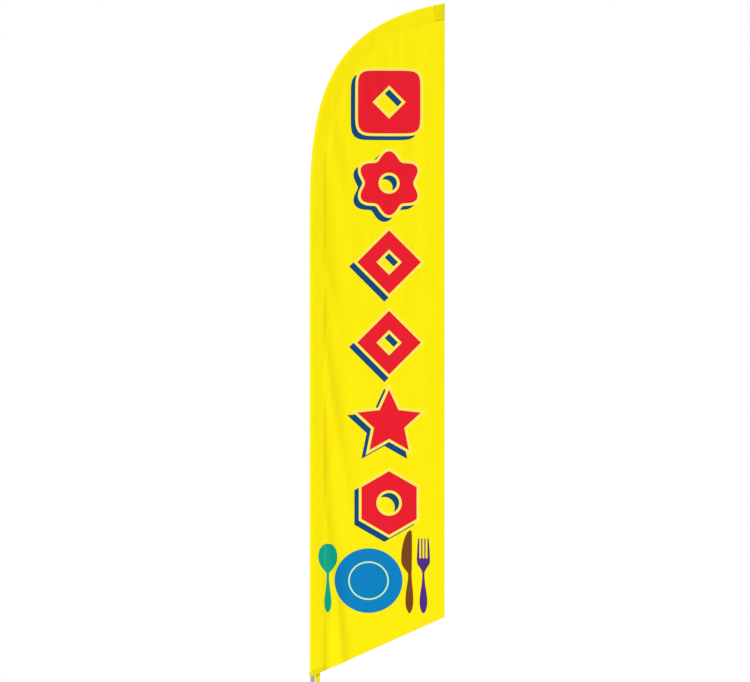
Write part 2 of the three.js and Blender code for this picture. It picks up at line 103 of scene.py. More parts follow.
def bend_samples():
    """Points, unit tangents and stations along the curved part of the outer edge, a Bezier curve."""
    t = np.linspace(0.0, 1.0, 3000)[:, None]
    p0 = np.array([EDGE_X, CURVE_START])
    p1 = np.array([EDGE_X, CURVE_START + CURVE_LIFT])
    p2 = np.array([RIGHT_X - TIP_RUN, TIP_Z - TIP_DROP])
    p3 = np.array([RIGHT_X, TIP_Z])
    points = (1 - t) ** 3 * p0 + 3 * (1 - t) ** 2 * t * p1 + 3 * (1 - t) * t * t * p2 + t**3 * p3
    return points, unit(np.gradient(points, axis=0)), CURVE_START + run_along(points)


BEND_POINTS, BEND_TANGENTS, BEND_STATIONS = bend_samples()
LAST = float(BEND_STATIONS[-1])


def edge_frame(station):
    """x and z of the outer edge, and its unit tangent, at each station."""
    s = np.asarray(station, float)
    straight = (EDGE_X, s, 0.0, 1.0)
    bent = [np.interp(s, BEND_STATIONS, column) for column in (*BEND_POINTS.T, *BEND_TANGENTS.T)]
    return [np.where(s < CURVE_START, a, b) for a, b in zip(straight, bent)]


def edge_point(station, depth):
    """x and z of the point a depth inside the outer edge at a station."""
    x, z, tx, tz = edge_frame(station)
    return x + depth * tz, z - depth * tx


def hem_z(x):
    """Height of the slanting lower hem."""
    return FOOT_Z + (np.asarray(x, float) - EDGE_X) / FLAG_WIDTH * HEM_RISE


def top_z(x):
    """Height of the curved upper edge."""
    return np.interp(x, BEND_POINTS[:, 0], BEND_POINTS[:, 1])


def last_station(depth):
    """Station at which a line of that depth meets the flag's free edge."""
    s = np.linspace(LAST - 0.1, LAST, 400)
    return float(np.interp(RIGHT_X, edge_point(s, depth)[0], s))


def sleeve_place(station, depth):
    """x and z at a station and depth, with the rows fanned to meet the lower hem and the free edge."""
    x, z = edge_point(station, depth)
    foot_end = FOOT_Z + FAN_LENGTH
    low = np.clip((station - FOOT_Z) / FAN_LENGTH, 0.0, 1.0)
    z = np.where(station < foot_end, hem_z(x) + (foot_end - hem_z(x)) * low, z)
    tip_start = LAST - FAN_LENGTH
    high = np.clip((station - tip_start) / FAN_LENGTH, 0.0, 1.0)
    fan_x, fan_z = edge_point(tip_start + (last_station(depth) - tip_start) * high, depth)
    late = station > tip_start
    return np.where(late, fan_x, x), np.where(late, fan_z, z)


bend_tree = kdtree.KDTree(len(BEND_POINTS))
for i, (bx, bz) in enumerate(BEND_POINTS):
    bend_tree.insert((bx, 0, bz), i)
bend_tree.balance()


def depth_and_station(x, z):
    """Depth inside the outer edge, and station, of the flag's points."""
    depth = np.array(x, float) - EDGE_X
    station = np.array(z, float)
    for k in np.nonzero(np.asarray(z) > CURVE_START - 0.02)[0]:
        _, i, _ = bend_tree.find((x[k], 0, z[k]))
        if i > 0:
            away = np.array([x[k], z[k]]) - BEND_POINTS[i]
            tx, tz = BEND_TANGENTS[i]
            depth[k] = away[0] * tz - away[1] * tx
            station[k] = BEND_STATIONS[i]
    return depth, station


def smooth(value, low, high):
    """0 below low, 1 above high and an easy curve between."""
    t = np.clip((np.asarray(value, float) - low) / (high - low), 0.0, 1.0)
    return t * t * (3 - 2 * t)


def sleeve_half(depth, station, x):
    """Half the thickness of the sleeve: round at the mast, then straight down to the seam.

    It closes over its last stretch towards the flag's free edge.
    """
    nose = NOSE_STRAIGHT + (NOSE_TIP - NOSE_STRAIGHT) * smooth(station, CURVE_START, LAST)
    lean = np.arcsin(nose / (SEAM_DEPTH - nose))
    round_end = nose * (1 + np.sin(lean))
    on_round = np.sqrt(np.maximum(nose**2 - (depth - nose) ** 2, 0.0))
    on_flat = np.maximum(SEAM_DEPTH - depth, 0.0) * np.tan(lean)
    half = np.where(depth < round_end, on_round, on_flat)
    shut = np.clip((x - (RIGHT_X - CLOSING)) / CLOSING, 0.0, 1.0)
    return half * np.sqrt(np.maximum(1 - shut**2, 0.0)) + SLEEVE_SLACK * (depth < SEAM_DEPTH)


# ---- how the cloth hangs

COLUMNS = 40
ROWS = 190
SIM_FRAMES = 46
RIPPLE_HEIGHT = 7 * MM
PUCKER_HEIGHT = 0.55 * MM
PUCKER_REACH = 15 * MM  # on both sides of the seam
PUCKER_LENGTHS = (31 * MM, 47 * MM)  # of the two waves that they add up from
DRAPE_LIMITS = np.array([1.2, 26.0, 3.0]) * MM  # how far the cloth may move in x, y and z
PLY_GAP = 1.1 * MM  # between the two plies where they are sewn together


def strip_faces(rows, columns, closed=False):
    """Quads of a grid of points, rows by columns, closed round the columns if asked."""
    faces = []
    for r in range(rows - 1):
        for c in range(columns if closed else columns - 1):
            here, there = r * columns, (r + 1) * columns
            n = (c + 1) % columns
            faces.append((here + c, here + n, there + n, there + c))
    return faces


def ripples(x, z):
    """A light wave of the free cloth: the start of the drape."""
    depth, _ = depth_and_station(x.ravel(), z.ravel())
    out = smooth(depth.reshape(x.shape), SEAM_DEPTH, FLAG_WIDTH)
    along = z / FLAG_HEIGHT
    wave = np.sin(9.5 * along * math.pi + 3.1 * x / FLAG_WIDTH)
    wave = wave + 0.5 * np.sin(17.0 * along * math.pi - 4.0 * x / FLAG_WIDTH + 0.8)
    return wave * out * RIPPLE_HEIGHT


def hung(grid):
    """The points of a cloth grid after it has hung from its pins."""
    cloth = grid.modifiers.new("cloth", "CLOTH")
    settings = cloth.settings
    settings.quality = 7
    settings.mass = 0.12
    settings.tension_stiffness = 40
    settings.compression_stiffness = 15
    settings.shear_stiffness = 12
    settings.bending_stiffness = 0.4
    settings.air_damping = 1.5
    settings.shrink_min = -0.004
    settings.vertex_group_mass = "pins"
    cloth.collision_settings.use_collision = False
    cloth.point_cache.frame_start = 1
    cloth.point_cache.frame_end = SIM_FRAMES
    scene = bpy.context.scene
    scene.gravity = (0.0, 0.25, -9.81)  # the small sideways share is a light breeze
    for f in range(1, SIM_FRAMES + 1):
        scene.frame_set(f)
    mesh = grid.evaluated_get(bpy.context.evaluated_depsgraph_get()).to_mesh()
    co = np.zeros(len(mesh.vertices) * 3)
    mesh.vertices.foreach_get("co", co)
    scene.frame_set(1)
    return co.reshape(-1, 3)


def drape_grid():
    """Displacement in x, y and z of each point of a coarse grid over the flag, once it has hung."""
    u = np.linspace(0.0, 1.0, COLUMNS)[None, :]
    v = np.linspace(0.0, 1.0, ROWS)[:, None]
    x = EDGE_X + u * FLAG_WIDTH + 0 * v
    z = hem_z(x) + v * (top_z(x) - hem_z(x))
    start = ripples(x, z)
    flat = np.stack([x, 0 * x, z], axis=-1)
    mesh = bpy.data.meshes.new("drape")
    verts = np.stack([x, start, z], axis=-1).reshape(-1, 3)
    mesh.from_pydata([tuple(v) for v in verts], [], strip_faces(ROWS, COLUMNS))
    grid = bpy.data.objects.new("drape", mesh)
    bpy.context.scene.collection.objects.link(grid)
    depth, _ = depth_and_station(x.ravel(), z.ravel())
    held = np.nonzero(depth < SEAM_DEPTH + 4 * MM)[0]
    grid.vertex_groups.new(name="pins").add([int(i) for i in held], 1.0, "REPLACE")
    shift = hung(grid).reshape(ROWS, COLUMNS, 3) - flat
    bpy.data.objects.remove(grid)
    return np.tanh(shift / DRAPE_LIMITS) * DRAPE_LIMITS


DRAPE = drape_grid()


def drape(x, z):
    """Displacement of the cloth at each flag point, read from the coarse grid."""
    x = np.asarray(x, float)
    z = np.asarray(z, float)
    u = np.clip((x - EDGE_X) / FLAG_WIDTH, 0, 1) * (COLUMNS - 1)
    v = np.clip((z - hem_z(x)) / (top_z(x) - hem_z(x)), 0, 1) * (ROWS - 1)
    c = np.minimum(u.astype(int), COLUMNS - 2)
    r = np.minimum(v.astype(int), ROWS - 2)
    fu = (u - c)[..., None]
    fv = (v - r)[..., None]
    fu = fu * fu * (3 - 2 * fu) * 0.4 + fu * 0.6
    low = DRAPE[r, c] * (1 - fu) + DRAPE[r, c + 1] * fu
    high = DRAPE[r + 1, c] * (1 - fu) + DRAPE[r + 1, c + 1] * fu
    return low * (1 - fv) + high * fv


def puckers(depth, station):
    """Small gathers that the seam's thread pulls into the cloth on both sides of it."""
    near = np.exp(-(((depth - SEAM_DEPTH) / PUCKER_REACH) ** 2))
    short, long = PUCKER_LENGTHS
    wave = np.sin(station * TURN / short + 2.0 * np.sin(station * 9.0))
    wave = wave + 0.6 * np.sin(station * TURN / long + 1.3)
    return near * wave * PUCKER_HEIGHT


def front_cloth(x, z):
    """Where the front cloth lies in space, for the flag points x, z."""
    depth, station = depth_and_station(x, z)
    y = puckers(depth, station) - sleeve_half(depth, station, x)
    return np.stack([x, y, z], axis=-1) + drape(x, z)


def back_cloth(station, depth):
    """Where the sleeve's back ply lies, at stations and one depth."""
    x, z = sleeve_place(station, depth)
    y = sleeve_half(depth, station, x) + puckers(*depth_and_station(x, z))
    if depth > SEAM_DEPTH:
        y = y + PLY_GAP
    return np.stack([x, y, z], axis=-1) + drape(x, z)


# ---- the print

EMBLEM_X = 414 * MM  # from the outer edge
EMBLEM_DROPS = np.array([511, 932, 1343, 1762, 2180, 2597]) * MM  # of their centres, below the top
EMBLEM_RADIUS = 166 * MM
SHADOW_GROW = 12 * MM
SHADOW_SHIFT = (-25 * MM, -23 * MM)
KEYLINE_GROW = 14 * MM


def angles(count):
    """Angles of points spaced evenly once round."""
    return np.arange(count) * TURN / count


def around(count, radius=1.0):
    """A closed loop, first point at the top; the radius is a number, or one for each point."""
    a = angles(count)
    return np.stack([radius * np.sin(a), radius * np.cos(a)], axis=-1)


def ellipse(centre, radius_x, radius_z, count=96):
    """A closed loop round a centre."""
    return np.array(centre) + around(count) * (radius_x, radius_z)


def arc(centre, radii, start, end, count):
    """Points on part of an ellipse or a circle; a negative radius mirrors it."""
    a = np.linspace(start, end, count)
    return np.array(centre) + np.stack([np.cos(a), np.sin(a)], axis=-1) * radii


def grown(loop, amount):
    """The loop, moved outwards by an amount along its corners' bisectors; inwards if negative."""
    before = unit(loop - np.roll(loop, 1, axis=0))
    after = unit(np.roll(loop, -1, axis=0) - loop)
    n1 = np.stack([-before[:, 1], before[:, 0]], axis=-1)
    n2 = np.stack([-after[:, 1], after[:, 0]], axis=-1)
    bisector = unit(n1 + n2)
    spread = np.maximum((bisector * n1).sum(1), 0.35)
    return loop + bisector * (amount / spread)[:, None]


def emblems():
    """Outer loop and hole of each of the six emblems, round its own centre."""
    r = EMBLEM_RADIUS
    a = angles(72)
    soft_square = r * 0.98 / (np.abs(np.sin(a)) ** 7 + np.abs(np.cos(a)) ** 7) ** (1 / 7)
    six_petals = r * 0.88 * (1 + 0.14 * np.cos(6 * angles(96)))
    five_points = np.where(np.arange(10) % 2, r * 0.5, r * 1.05)
    diamond = (around(4, r), around(4, r * 0.4))
    return [
        (around(72, soft_square), around(4, r * 0.52)),
        (around(96, six_petals), around(48, r * 0.33)),
        diamond,
        diamond,
        (around(10, five_points), None),
        (around(6, r), around(56, r * 0.4)),
    ]


def spline(points, per_span=7, closed=True):
    """A smooth line through a few points."""
    p = np.array(points, float)
    q = np.concatenate([p[-1:], p, p[:2]] if closed else [p[:1], p, p[-1:]])
    t = np.arange(per_span)[:, None] / per_span
    spans = [
        0.5 * (2 * b + (c - a) * t + (2 * a - 5 * b + 4 * c - d) * t * t + (3 * b - a - 3 * c + d) * t**3)
        for a, b, c, d in zip(q, q[1:], q[2:], q[3:])
    ]
    return np.concatenate(spans if closed else [*spans, p[-1:]])


def mirrored(halves):
    """Down one side and up the other, from (half width, distance from the top) in millimetres."""
    right = [(w, -d) for w, d in halves]
    left = [(-w, -d) for w, d in reversed(halves) if w > 0]
    return right + left


def spoon_loop():
    """An oval bowl on a handle that swells towards its end."""
    halves = [(0, 0), (24, 7), (43, 30), (50, 66), (44, 102), (24, 134), (9, 152), (7, 172), (9, 214),
              (15, 262), (19, 302), (17, 330), (10, 350), (0, 359)]
    return spline(mirrored(halves)) * MM


def knife_loop():
    """A straight back, a bellied edge and a waisted handle."""
    points = [(14, 0), (21, 10), (22, 40), (22, 120), (21, 200), (20, 232), (22, 270), (27, 320),
              (29, 362), (26, 400), (17, 424), (9, 432), (1, 424), (-9, 400), (-12, 362), (-9, 320),
              (-1, 270), (2, 232), (-3, 218), (-20, 196), (-32, 172), (-34, 142), (-30, 96), (-19, 48),
              (-3, 12)]
    return spline([(x, -d) for x, d in points], 4) * MM


def fork_loop():
    """Four round-ended tines, made one after another, on a waisted handle."""
    tine, pitch, root, tip = 3.4, 16.3, 101, 6
    gap = pitch / 2 - tine
    parts = []
    for place in (-1.5, -0.5, 0.5, 1.5):
        parts.append(arc((place * pitch, -tip), (tine, tip), math.pi, 0, 7))
        parts.append(arc(((place + 0.5) * pitch, -root), (gap, -gap), math.pi, 0, 7))
    side = [(30, 30), (32, 60), (34, 118), (29, 138), (17, 156), (7, 176), (5.5, 192), (9, 240),
            (16, 284), (20, 324), (18, 356), (10, 382), (0, 391)]
    parts[-1] = spline(mirrored(side), 5, closed=False)
    return np.concatenate(parts) * MM


def to_flag(loop, x, below_top):
    """A loop round its own centre, put at x from the outer edge and a distance below the top."""
    return loop + np.array([EDGE_X + x, TIP_Z - below_top])


def print_layers():
    """(ink, outer loop, hole loops) in the order that they are printed, each over the last."""
    layers = []
    for (outer, hole), drop in zip(emblems(), EMBLEM_DROPS):
        for ink, amount, shift in (
            ("ink_navy", SHADOW_GROW, SHADOW_SHIFT),
            ("ink_cream", KEYLINE_GROW, (0, 0)),
            ("ink_red", 0.0, (0, 0)),
        ):
            holes = [] if hole is None else [to_flag(grown(hole, -amount) + shift, EMBLEM_X, drop)]
            layers.append((ink, to_flag(grown(outer, amount) + shift, EMBLEM_X, drop), holes))
    plate = (EDGE_X + 307 * MM, TIP_Z - 3001 * MM)
    layers.append(("ink_blue", ellipse(plate, 177 * MM, 168 * MM, 120), []))
    ring = ellipse(plate, 105.6 * MM, 100.4 * MM)
    layers.append(("ink_pale", ring, [ellipse(plate, 98 * MM, 92.8 * MM)]))
    layers.append(("ink_teal", to_flag(spoon_loop(), 94.7 * MM, 2810 * MM), []))
    layers.append(("ink_brown", to_flag(knife_loop(), 511 * MM, 2739 * MM), []))
    layers.append(("ink_purple", to_flag(fork_loop(), 592.6 * MM, 2780 * MM), []))
    return layers


def inside(loop, points):
    """Which points lie in a closed loop."""
    x, z = points.T
    found = np.zeros(len(points), bool)
    (low_x, low_z), (high_x, high_z) = loop.min(axis=0), loop.max(axis=0)
    near = (x > low_x) & (x < high_x) & (z > low_z) & (z < high_z)
    px, pz = x[near], z[near]
    hits = np.zeros(len(px), bool)
    for (ax, az), (bx, bz) in zip(loop, np.roll(loop, -1, axis=0)):
        crosses = (az > pz) != (bz > pz)
        if abs(bz - az) > 1e-12:
            hits ^= crosses & (px < (bx - ax) * (pz - az) / (bz - az) + ax)
    found[near] = hits
    return found


def within(loop, holes, points):
    """Which points lie in a loop and in none of its holes."""
    found = inside(loop, points)
    for hole in holes:
        found &= ~inside(hole, points)
    return found


# ---- materials

def srgb(r, g, b):
    """A linear colour from 0-255 values."""
    return tuple(((c / 255 + 0.055) / 1.055) ** 2.4 if c > 10 else c / 255 / 12.92 for c in (r, g, b))


def tinted(colour, share, more=0.0):
    """A colour made darker or paler."""
    return tuple(c * share + more for c in colour)


class Look:
    """The nodes of a material or a world. Each call that makes one gives its output."""

    def __init__(self, owner, last="Principled BSDF"):
        owner.use_nodes = True
        self.owner = owner
        self.tree = owner.node_tree
        self.last = self.tree.nodes[last]

    def fill(self, node, inputs):
        """Sets a node's inputs: each is a value, or an output that is linked to it."""
        for key, value in inputs.items():
            socket = node.inputs[key]
            if isinstance(value, bpy.types.NodeSocket):
                self.tree.links.new(value, socket)
            elif socket.type == "RGBA":
                socket.default_value = (*value, 1.0)
            else:
                socket.default_value = value

    def finish(self, **inputs):
        """Sets the last node's inputs, with spaces for underscores, and gives the material or world."""
        self.fill(self.last, {key.replace("_", " "): value for key, value in inputs.items()})
        return self.owner

    def node(self, kind, output, inputs, **settings):
        """A new node's output."""
        made = self.tree.nodes.new("ShaderNode" + kind)
        for name, value in settings.items():
            setattr(made, name, value)
        self.fill(made, inputs)
        return made.outputs[output]

    def place(self, scale=(1, 1, 1)):
        """The object's own coordinates, scaled."""
        own = self.node("TexCoord", "Object", {})
        return self.node("Mapping", "Vector", {"Vector": own, "Scale": scale})

    def noise(self, scale, detail=4.0, stretch=(1, 1, 1)):
        """Soft random patches."""
        inputs = {"Vector": self.place(stretch), "Scale": scale, "Detail": detail}
        return self.node("TexNoise", "Fac", inputs)

    def wave(self, direction, scale, **others):
        """Even bands."""
        inputs = {"Vector": self.place(), "Scale": scale, **others}
        return self.node("TexWave", "Fac", inputs, bands_direction=direction)

    def weave(self, pitch):
        """Height of a plain weave: two crossed sets of threads."""
        threads = [self.wave(way, 1 / pitch / 3.2, Distortion=0.6, Detail=1.0) for way in ("X", "Z")]
        return self.node("Math", 0, dict(enumerate(threads)), operation="MULTIPLY")

    def remap(self, value, low, high):
        """A texture's middle range, spread from low to high."""
        inputs = {"Value": value, "From Min": 0.3, "From Max": 0.7, "To Min": low, "To Max": high}
        return self.node("MapRange", "Result", inputs)

    def mixed(self, share, first, second):
        """The first colour with a share of the second."""
        return self.node("Mix", 2, {"Factor": share, 6: first, 7: second}, data_type="RGBA")

    def bump(self, height, strength, distance):
        """A normal for the shader."""
        inputs = {"Height": height, "Strength": strength, "Distance": distance}
        return self.node("Bump", "Normal", inputs)


def new_look(name):
    """The look of a new material."""
    return Look(bpy.data.materials.new(name))


def cloth_material(name, colour):
    """Printed knitted polyester: slight streaks along the cloth, soft sheen, fine knit with painted shade
    in its hollows.
    """
    look = new_look(name)
    streaks = look.noise(3.0, stretch=(9, 9, 1.2))
    tone = look.mixed(look.remap(streaks, 0.0, 1.0), colour, tinted(colour, 0.955))
    threads = look.weave(1.1 * MM)
    return look.finish(
        # Painted shade: the colour is darker where the knit's threads are low, in the hollows between
        # them.
        Base_Color=look.mixed(look.remap(threads, 0.16, 0.0), tone, tinted(colour, 0.93)),
        Roughness=look.remap(streaks, 0.78, 0.9),
        Specular_IOR_Level=0.08,
        Sheen_Weight=0.02,
        Sheen_Roughness=0.5,
        Normal=look.bump(threads, 0.35, 0.15 * MM),
    )


def webbing_material(name, colour):
    """Coarse ribbed polyester tape, with painted shade in the grooves between its ribs."""
    look = new_look(name)
    ribs = look.wave("Z", 190, Distortion=0.8)
    fuzz = look.noise(900)
    dark = tinted(colour, 0.84)
    return look.finish(
        # Painted shade: the ribs' low bands take the darker tone, in the grooves; the fuzz patches take
        # the same tone as the tape's own random tone.
        Base_Color=look.mixed(look.remap(fuzz, 0.0, 0.3), look.mixed(ribs, dark, colour), dark),
        Roughness=look.remap(fuzz, 0.72, 0.92),
        Sheen_Weight=0.03,
        Specular_IOR_Level=0.12,
        Normal=look.bump(ribs, 0.7, 0.4 * MM),
    )


def thread_material(name, colour):
    """Twisted sewing thread, with painted shade in the grooves of its twist."""
    look = new_look(name)
    twist = look.wave("DIAGONAL", 700)
    return look.finish(
        # Painted shade: the colour is darker where the twist is low, in its grooves.
        Base_Color=look.mixed(twist, tinted(colour, 0.7), colour),
        Roughness=0.55,
        Sheen_Weight=0.2,
        Normal=look.bump(twist, 0.5, 0.1 * MM),
    )


def metal_material(name, colour, rough, grain_scale, grain, worn):
    """Metal with a drawn grain, faint smudges and rougher patches."""
    look = new_look(name)
    drawn = look.noise(grain_scale, 6.0, grain)
    patches = look.noise(22, 5.0)
    tone = look.mixed(look.remap(drawn, 0.0, 0.6), colour, tinted(colour, 0.72))
    return look.finish(
        Base_Color=look.mixed(look.remap(patches, 0.0, worn), tone, tinted(colour, 0.55)),
        Metallic=1.0,
        Roughness=look.remap(patches, rough * 0.8, rough * 1.5),
        Normal=look.bump(drawn, 0.15, 0.1 * MM),
    )


def coated_material(name, colour):
    """Powder-coated steel: orange peel, dusty patches and bare metal on worn high spots."""
    look = new_look(name)
    dust = look.noise(18, 6.0)
    tone = look.mixed(look.remap(dust, 0.0, 0.7), colour, tinted(colour, 0.6, 0.05))
    bare = look.node("ValToRGB", "Color", {"Fac": look.noise(140, 8.0)})
    dark_end, bright_end = bare.node.color_ramp.elements
    dark_end.position = 0.72
    bright_end.position = 0.76
    return look.finish(
        Base_Color=look.mixed(bare, tone, srgb(150, 146, 140)),
        Metallic=bare,
        Roughness=look.remap(dust, 0.36, 0.62),
        Normal=look.bump(look.noise(650, 2.0), 0.25, 0.15 * MM),
    )


def plastic_material(name, colour, rough=0.5, texture=420):
    """Moulded nylon or rubber: fine spark texture and slight tone change."""
    look = new_look(name)
    grain = look.noise(texture * 4, 3.0)
    tone = look.remap(look.noise(30, 3.0), 0.0, 1.0)
    return look.finish(
        Base_Color=look.mixed(tone, colour, tinted(colour, 1.25, 0.006)),
        Roughness=look.remap(grain, rough * 0.85, rough * 1.2),
        Normal=look.bump(grain, 0.3, 0.08 * MM),
    )


def fibreglass_material(name, colour):
    """Pultruded fibreglass: long fine fibres under a clear resin skin."""
    look = new_look(name)
    fibres = look.noise(1.0, 3.0, (900, 900, 12))
    return look.finish(
        Base_Color=look.mixed(look.remap(fibres, 0.0, 1.0), colour, tinted(colour, 1.0, 0.04)),
        Roughness=look.remap(fibres, 0.28, 0.42),
        Coat_Weight=0.4,
        Normal=look.bump(fibres, 0.2, 0.05 * MM),
    )


INKS = {
    "cloth_yellow": srgb(255, 238, 6),
    "ink_navy": srgb(11, 72, 126),
    "ink_cream": srgb(255, 238, 96),
    "ink_red": srgb(235, 28, 46),
    "ink_blue": srgb(6, 130, 195),
    "ink_pale": srgb(214, 244, 168),
    "ink_teal": srgb(6, 167, 137),
    "ink_brown": srgb(122, 69, 26),
    "ink_purple": srgb(81, 45, 131),
}
INK_ORDER = list(INKS)
FRONT_INKS = [cloth_material(ink, INKS[ink]) for ink in INK_ORDER]
BACK_INKS = [cloth_material(f"{ink}_reverse", tinted(INKS[ink], 0.9, 0.02)) for ink in INK_ORDER]

WEBBING = webbing_material("yellow_webbing", srgb(255, 238, 8))
THREAD = thread_material("yellow_thread", srgb(246, 222, 16))
ALUMINIUM = metal_material("anodised_aluminium", srgb(205, 208, 212), 0.3, 3.0, (160, 160, 6), 0.25)
PLATED = metal_material("zinc_plate", srgb(212, 209, 200), 0.26, 60, (1, 1, 1), 0.35)
BEARING = metal_material("bearing_steel", srgb(220, 222, 225), 0.16, 80, (1, 1, 1), 0.1)
COATED = coated_material("black_powder_coat", srgb(38, 40, 43))
NYLON = plastic_material("black_nylon", srgb(30, 31, 33))
RUBBER = plastic_material("black_rubber", srgb(24, 24, 25), 0.8, 200)
FIBREGLASS = fibreglass_material("dark_fibreglass", srgb(34, 35, 38))


# ---- mesh helpers

@contextlib.contextmanager
def edited(made):
    """The piece's mesh, open to bmesh's tools. On closing, its faces are turned outwards."""
    bm = bmesh.new()
    bm.from_mesh(made.data)
    yield bm
    bmesh.ops.recalc_face_normals(bm, faces=bm.faces)
    bm.to_mesh(made.data)
    bm.free()
    made.data.update()


def sharpened(made, angle=35):
    """The piece, shaded smooth except over edges sharper than the angle."""
    mesh = made.data
    mesh.polygons.foreach_set("use_smooth", np.ones(len(mesh.polygons), bool))
    mesh.set_sharp_from_angle(angle=math.radians(angle))
    return made


def make_object(name, verts, faces, materials, slots=None, sharp=35):
    """A piece from plain lists, with its faces turned outwards."""
    mesh = bpy.data.meshes.new(name)
    mesh.from_pydata([tuple(map(float, v)) for v in verts], [], [tuple(map(int, f)) for f in faces])
    for material in materials:
        mesh.materials.append(material)
    if slots is not None:
        mesh.polygons.foreach_set("material_index", np.asarray(slots, np.int32))
    mesh.update()
    made = bpy.data.objects.new(name, mesh)
    bpy.context.scene.collection.objects.link(made)
    sharpened(made, sharp)
    with edited(made):
        pass  # closing turns the faces outwards
    return made


def modified(made, kind, **settings):
    """The piece with a modifier made part of its mesh."""
    modifier = made.modifiers.new(kind, kind)
    for name, value in settings.items():
        setattr(modifier, name, value)
    bpy.context.view_layer.update()
    evaluated = made.evaluated_get(bpy.context.evaluated_depsgraph_get())
    mesh = bpy.data.meshes.new_from_object(evaluated)
    made.modifiers.clear()
    made.data = mesh
    return made


def bevelled(made, width, segments=3, angle=50):
    """The piece with its hard edges rounded."""
    return modified(
        made,
        "BEVEL",
        width=width,
        segments=segments,
        limit_method="ANGLE",
        angle_limit=math.radians(angle),
    )


def solidified(made, thickness, offset=0.0, back_slots=0):
    """The sheet with a thickness; its back's material slots come that many after its front's."""
    return modified(
        made,
        "SOLIDIFY",
        thickness=thickness,
        offset=offset,
        use_even_offset=False,
        material_offset=back_slots,
    )


def combined(made, tool, operation):
    """The piece after a boolean with a tool, which is used up."""
    modified(made, "BOOLEAN", object=tool, operation=operation, solver="EXACT")
    bpy.data.objects.remove(tool)
    return made


def dissolved(made):
    """The piece with its flat faces each made one polygon, ready for bevels."""
    with edited(made) as bm:
        bmesh.ops.dissolve_limit(bm, angle_limit=math.radians(2), verts=bm.verts, edges=bm.edges)
    return made


def skin(rings, start=0):
    """Points and faces of a solid over rings of as many points each; its faces count from start."""
    grid = np.array(rings, float)
    count, sides = grid.shape[:2]
    faces = strip_faces(count, sides, closed=True)
    faces += [range(sides), range((count - 1) * sides, count * sides)]
    return grid.reshape(-1, 3), [[start + corner for corner in face] for face in faces]


def lofted(name, rings, material, sharp=35):
    """A solid piece over rings of as many points each."""
    return make_object(name, *skin(rings), [material], sharp=sharp)


def level_ring(radius, z, sides, x=0.0, y=0.0):
    """A ring of points at one height; the radius is a number, or one for each point."""
    a = angles(sides)
    return np.stack([x + radius * np.cos(a), y + radius * np.sin(a), np.full(sides, z)], axis=-1)


def forwards(x, z):
    """Lays what was made along Z, or facing it, along -Y in its place."""
    return Matrix.Translation((x, 0, z)) @ Matrix.Rotation(math.pi / 2, 4, "X")


def turned(name, profile, material, sides=96, place=Matrix()):
    """A profile of (radius, z) turned round Z, then put in place.

    One that starts and ends on the axis is solid, and any other is closed from its last point to
    its first.
    """
    profile = [tuple(point) for point in profile]
    if profile[0][0] > 0:
        profile.append(profile[0])
    verts = np.concatenate([level_ring(r, z, sides) for r, z in profile])
    piece = make_object(name, verts, strip_faces(len(profile), sides, closed=True), [material])
    with edited(piece) as bm:
        bmesh.ops.remove_doubles(bm, verts=bm.verts, dist=1e-7)
    piece.data.transform(place)
    return sharpened(piece)


def tube(name, inner, outer, low, high, material):
    """A plain ring or tube, or a disc if its inner radius is 0."""
    return turned(name, [(inner, low), (outer, low), (outer, high), (inner, high)], material)


def drill(made, radius, start, end, sides, place=Matrix()):
    """Cuts a round hole along Z, or along an axis that is put in place by a matrix."""
    profile = [(0, start), (radius, start), (radius, end), (0, end)]
    return combined(made, turned("drill", profile, NYLON, sides, place), "DIFFERENCE")


def swept(name, points, radii, material, sides, apart, sharp=35):
    """A round bar along points; its rings start from a direction that is well apart from the path's."""
    p = np.array(points, float)[:, None]
    along = unit(np.gradient(p[:, 0], axis=0))
    across = unit(np.cross(along, apart))
    a = angles(sides)[None, :, None]
    spokes = np.cos(a) * across[:, None] + np.sin(a) * np.cross(along, across)[:, None]
    return lofted(name, p + np.array(radii)[:, None, None] * spokes, material, sharp)


def triangulated(points, edges, kind, reach):
    """Flat points and triangles that keep the given edges. Kind is Blender's output type."""
    flat, _, faces, *_ = delaunay_2d_cdt([Vector(p) for p in points], edges, [], kind, reach)
    return np.array([tuple(v) for v in flat]), np.array([tuple(f) for f in faces])


def chain(start, count, closed=True):
    """Edges that join points numbered from start, one after another."""
    return [(start + i, start + (i + 1) % count) for i in range(count if closed else count - 1)]


def extruded(name, loops, thickness, material, place):
    """A flat shape of one outer loop and its holes, given thickness, then put in place."""
    loops = [np.array(loop) for loop in loops]
    starts = np.cumsum([0] + [len(loop) for loop in loops])
    edges = [edge for start, loop in zip(starts, loops) for edge in chain(int(start), len(loop))]
    flat, faces = triangulated(np.concatenate(loops), edges, 1, 1e-7)
    faces = faces[within(loops[0], loops[1:], flat[faces].mean(axis=1))]
    bottom = np.column_stack([flat, np.full(len(flat), -thickness / 2)])
    piece = make_object(name, [], [], [material])
    with edited(piece) as bm:
        verts = [bm.verts.new(v) for v in bottom]
        flat_faces = [bm.faces.new([verts[i] for i in face]) for face in faces]
        bmesh.ops.delete(bm, geom=[v for v in verts if not v.link_faces], context="VERTS")
        raised = bmesh.ops.extrude_face_region(bm, geom=flat_faces)
        top = [v for v in raised["geom"] if isinstance(v, bmesh.types.BMVert)]
        bmesh.ops.translate(bm, vec=(0, 0, thickness), verts=top)
    piece.data.transform(place)
    return piece


def settle(made, body, slot, *nodes):
    """The piece rides on a body and stands for CAD nodes; its slot is not used."""
    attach(made, body)
    if nodes:
        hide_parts(*nodes)
    return made


# ---- the flag's cloth

FRONT_DEPTHS = np.array([44, 57, 67, 72, 75, 78, 84, 94]) * MM
BACK_DEPTHS = np.array([44, 57, 67, 73, 77, 84]) * MM  # the last is the ply's cut edge
WRAP_STEP = 10 * MM
LINE_STEP = 8 * MM
EDGE_STEP = 9 * MM
CLOTH_STEP = 14 * MM


def wrap_stations():
    """Stations of the wrapped cloth's rows."""
    return np.linspace(FOOT_Z, LAST, int((LAST - FOOT_Z) / WRAP_STEP))


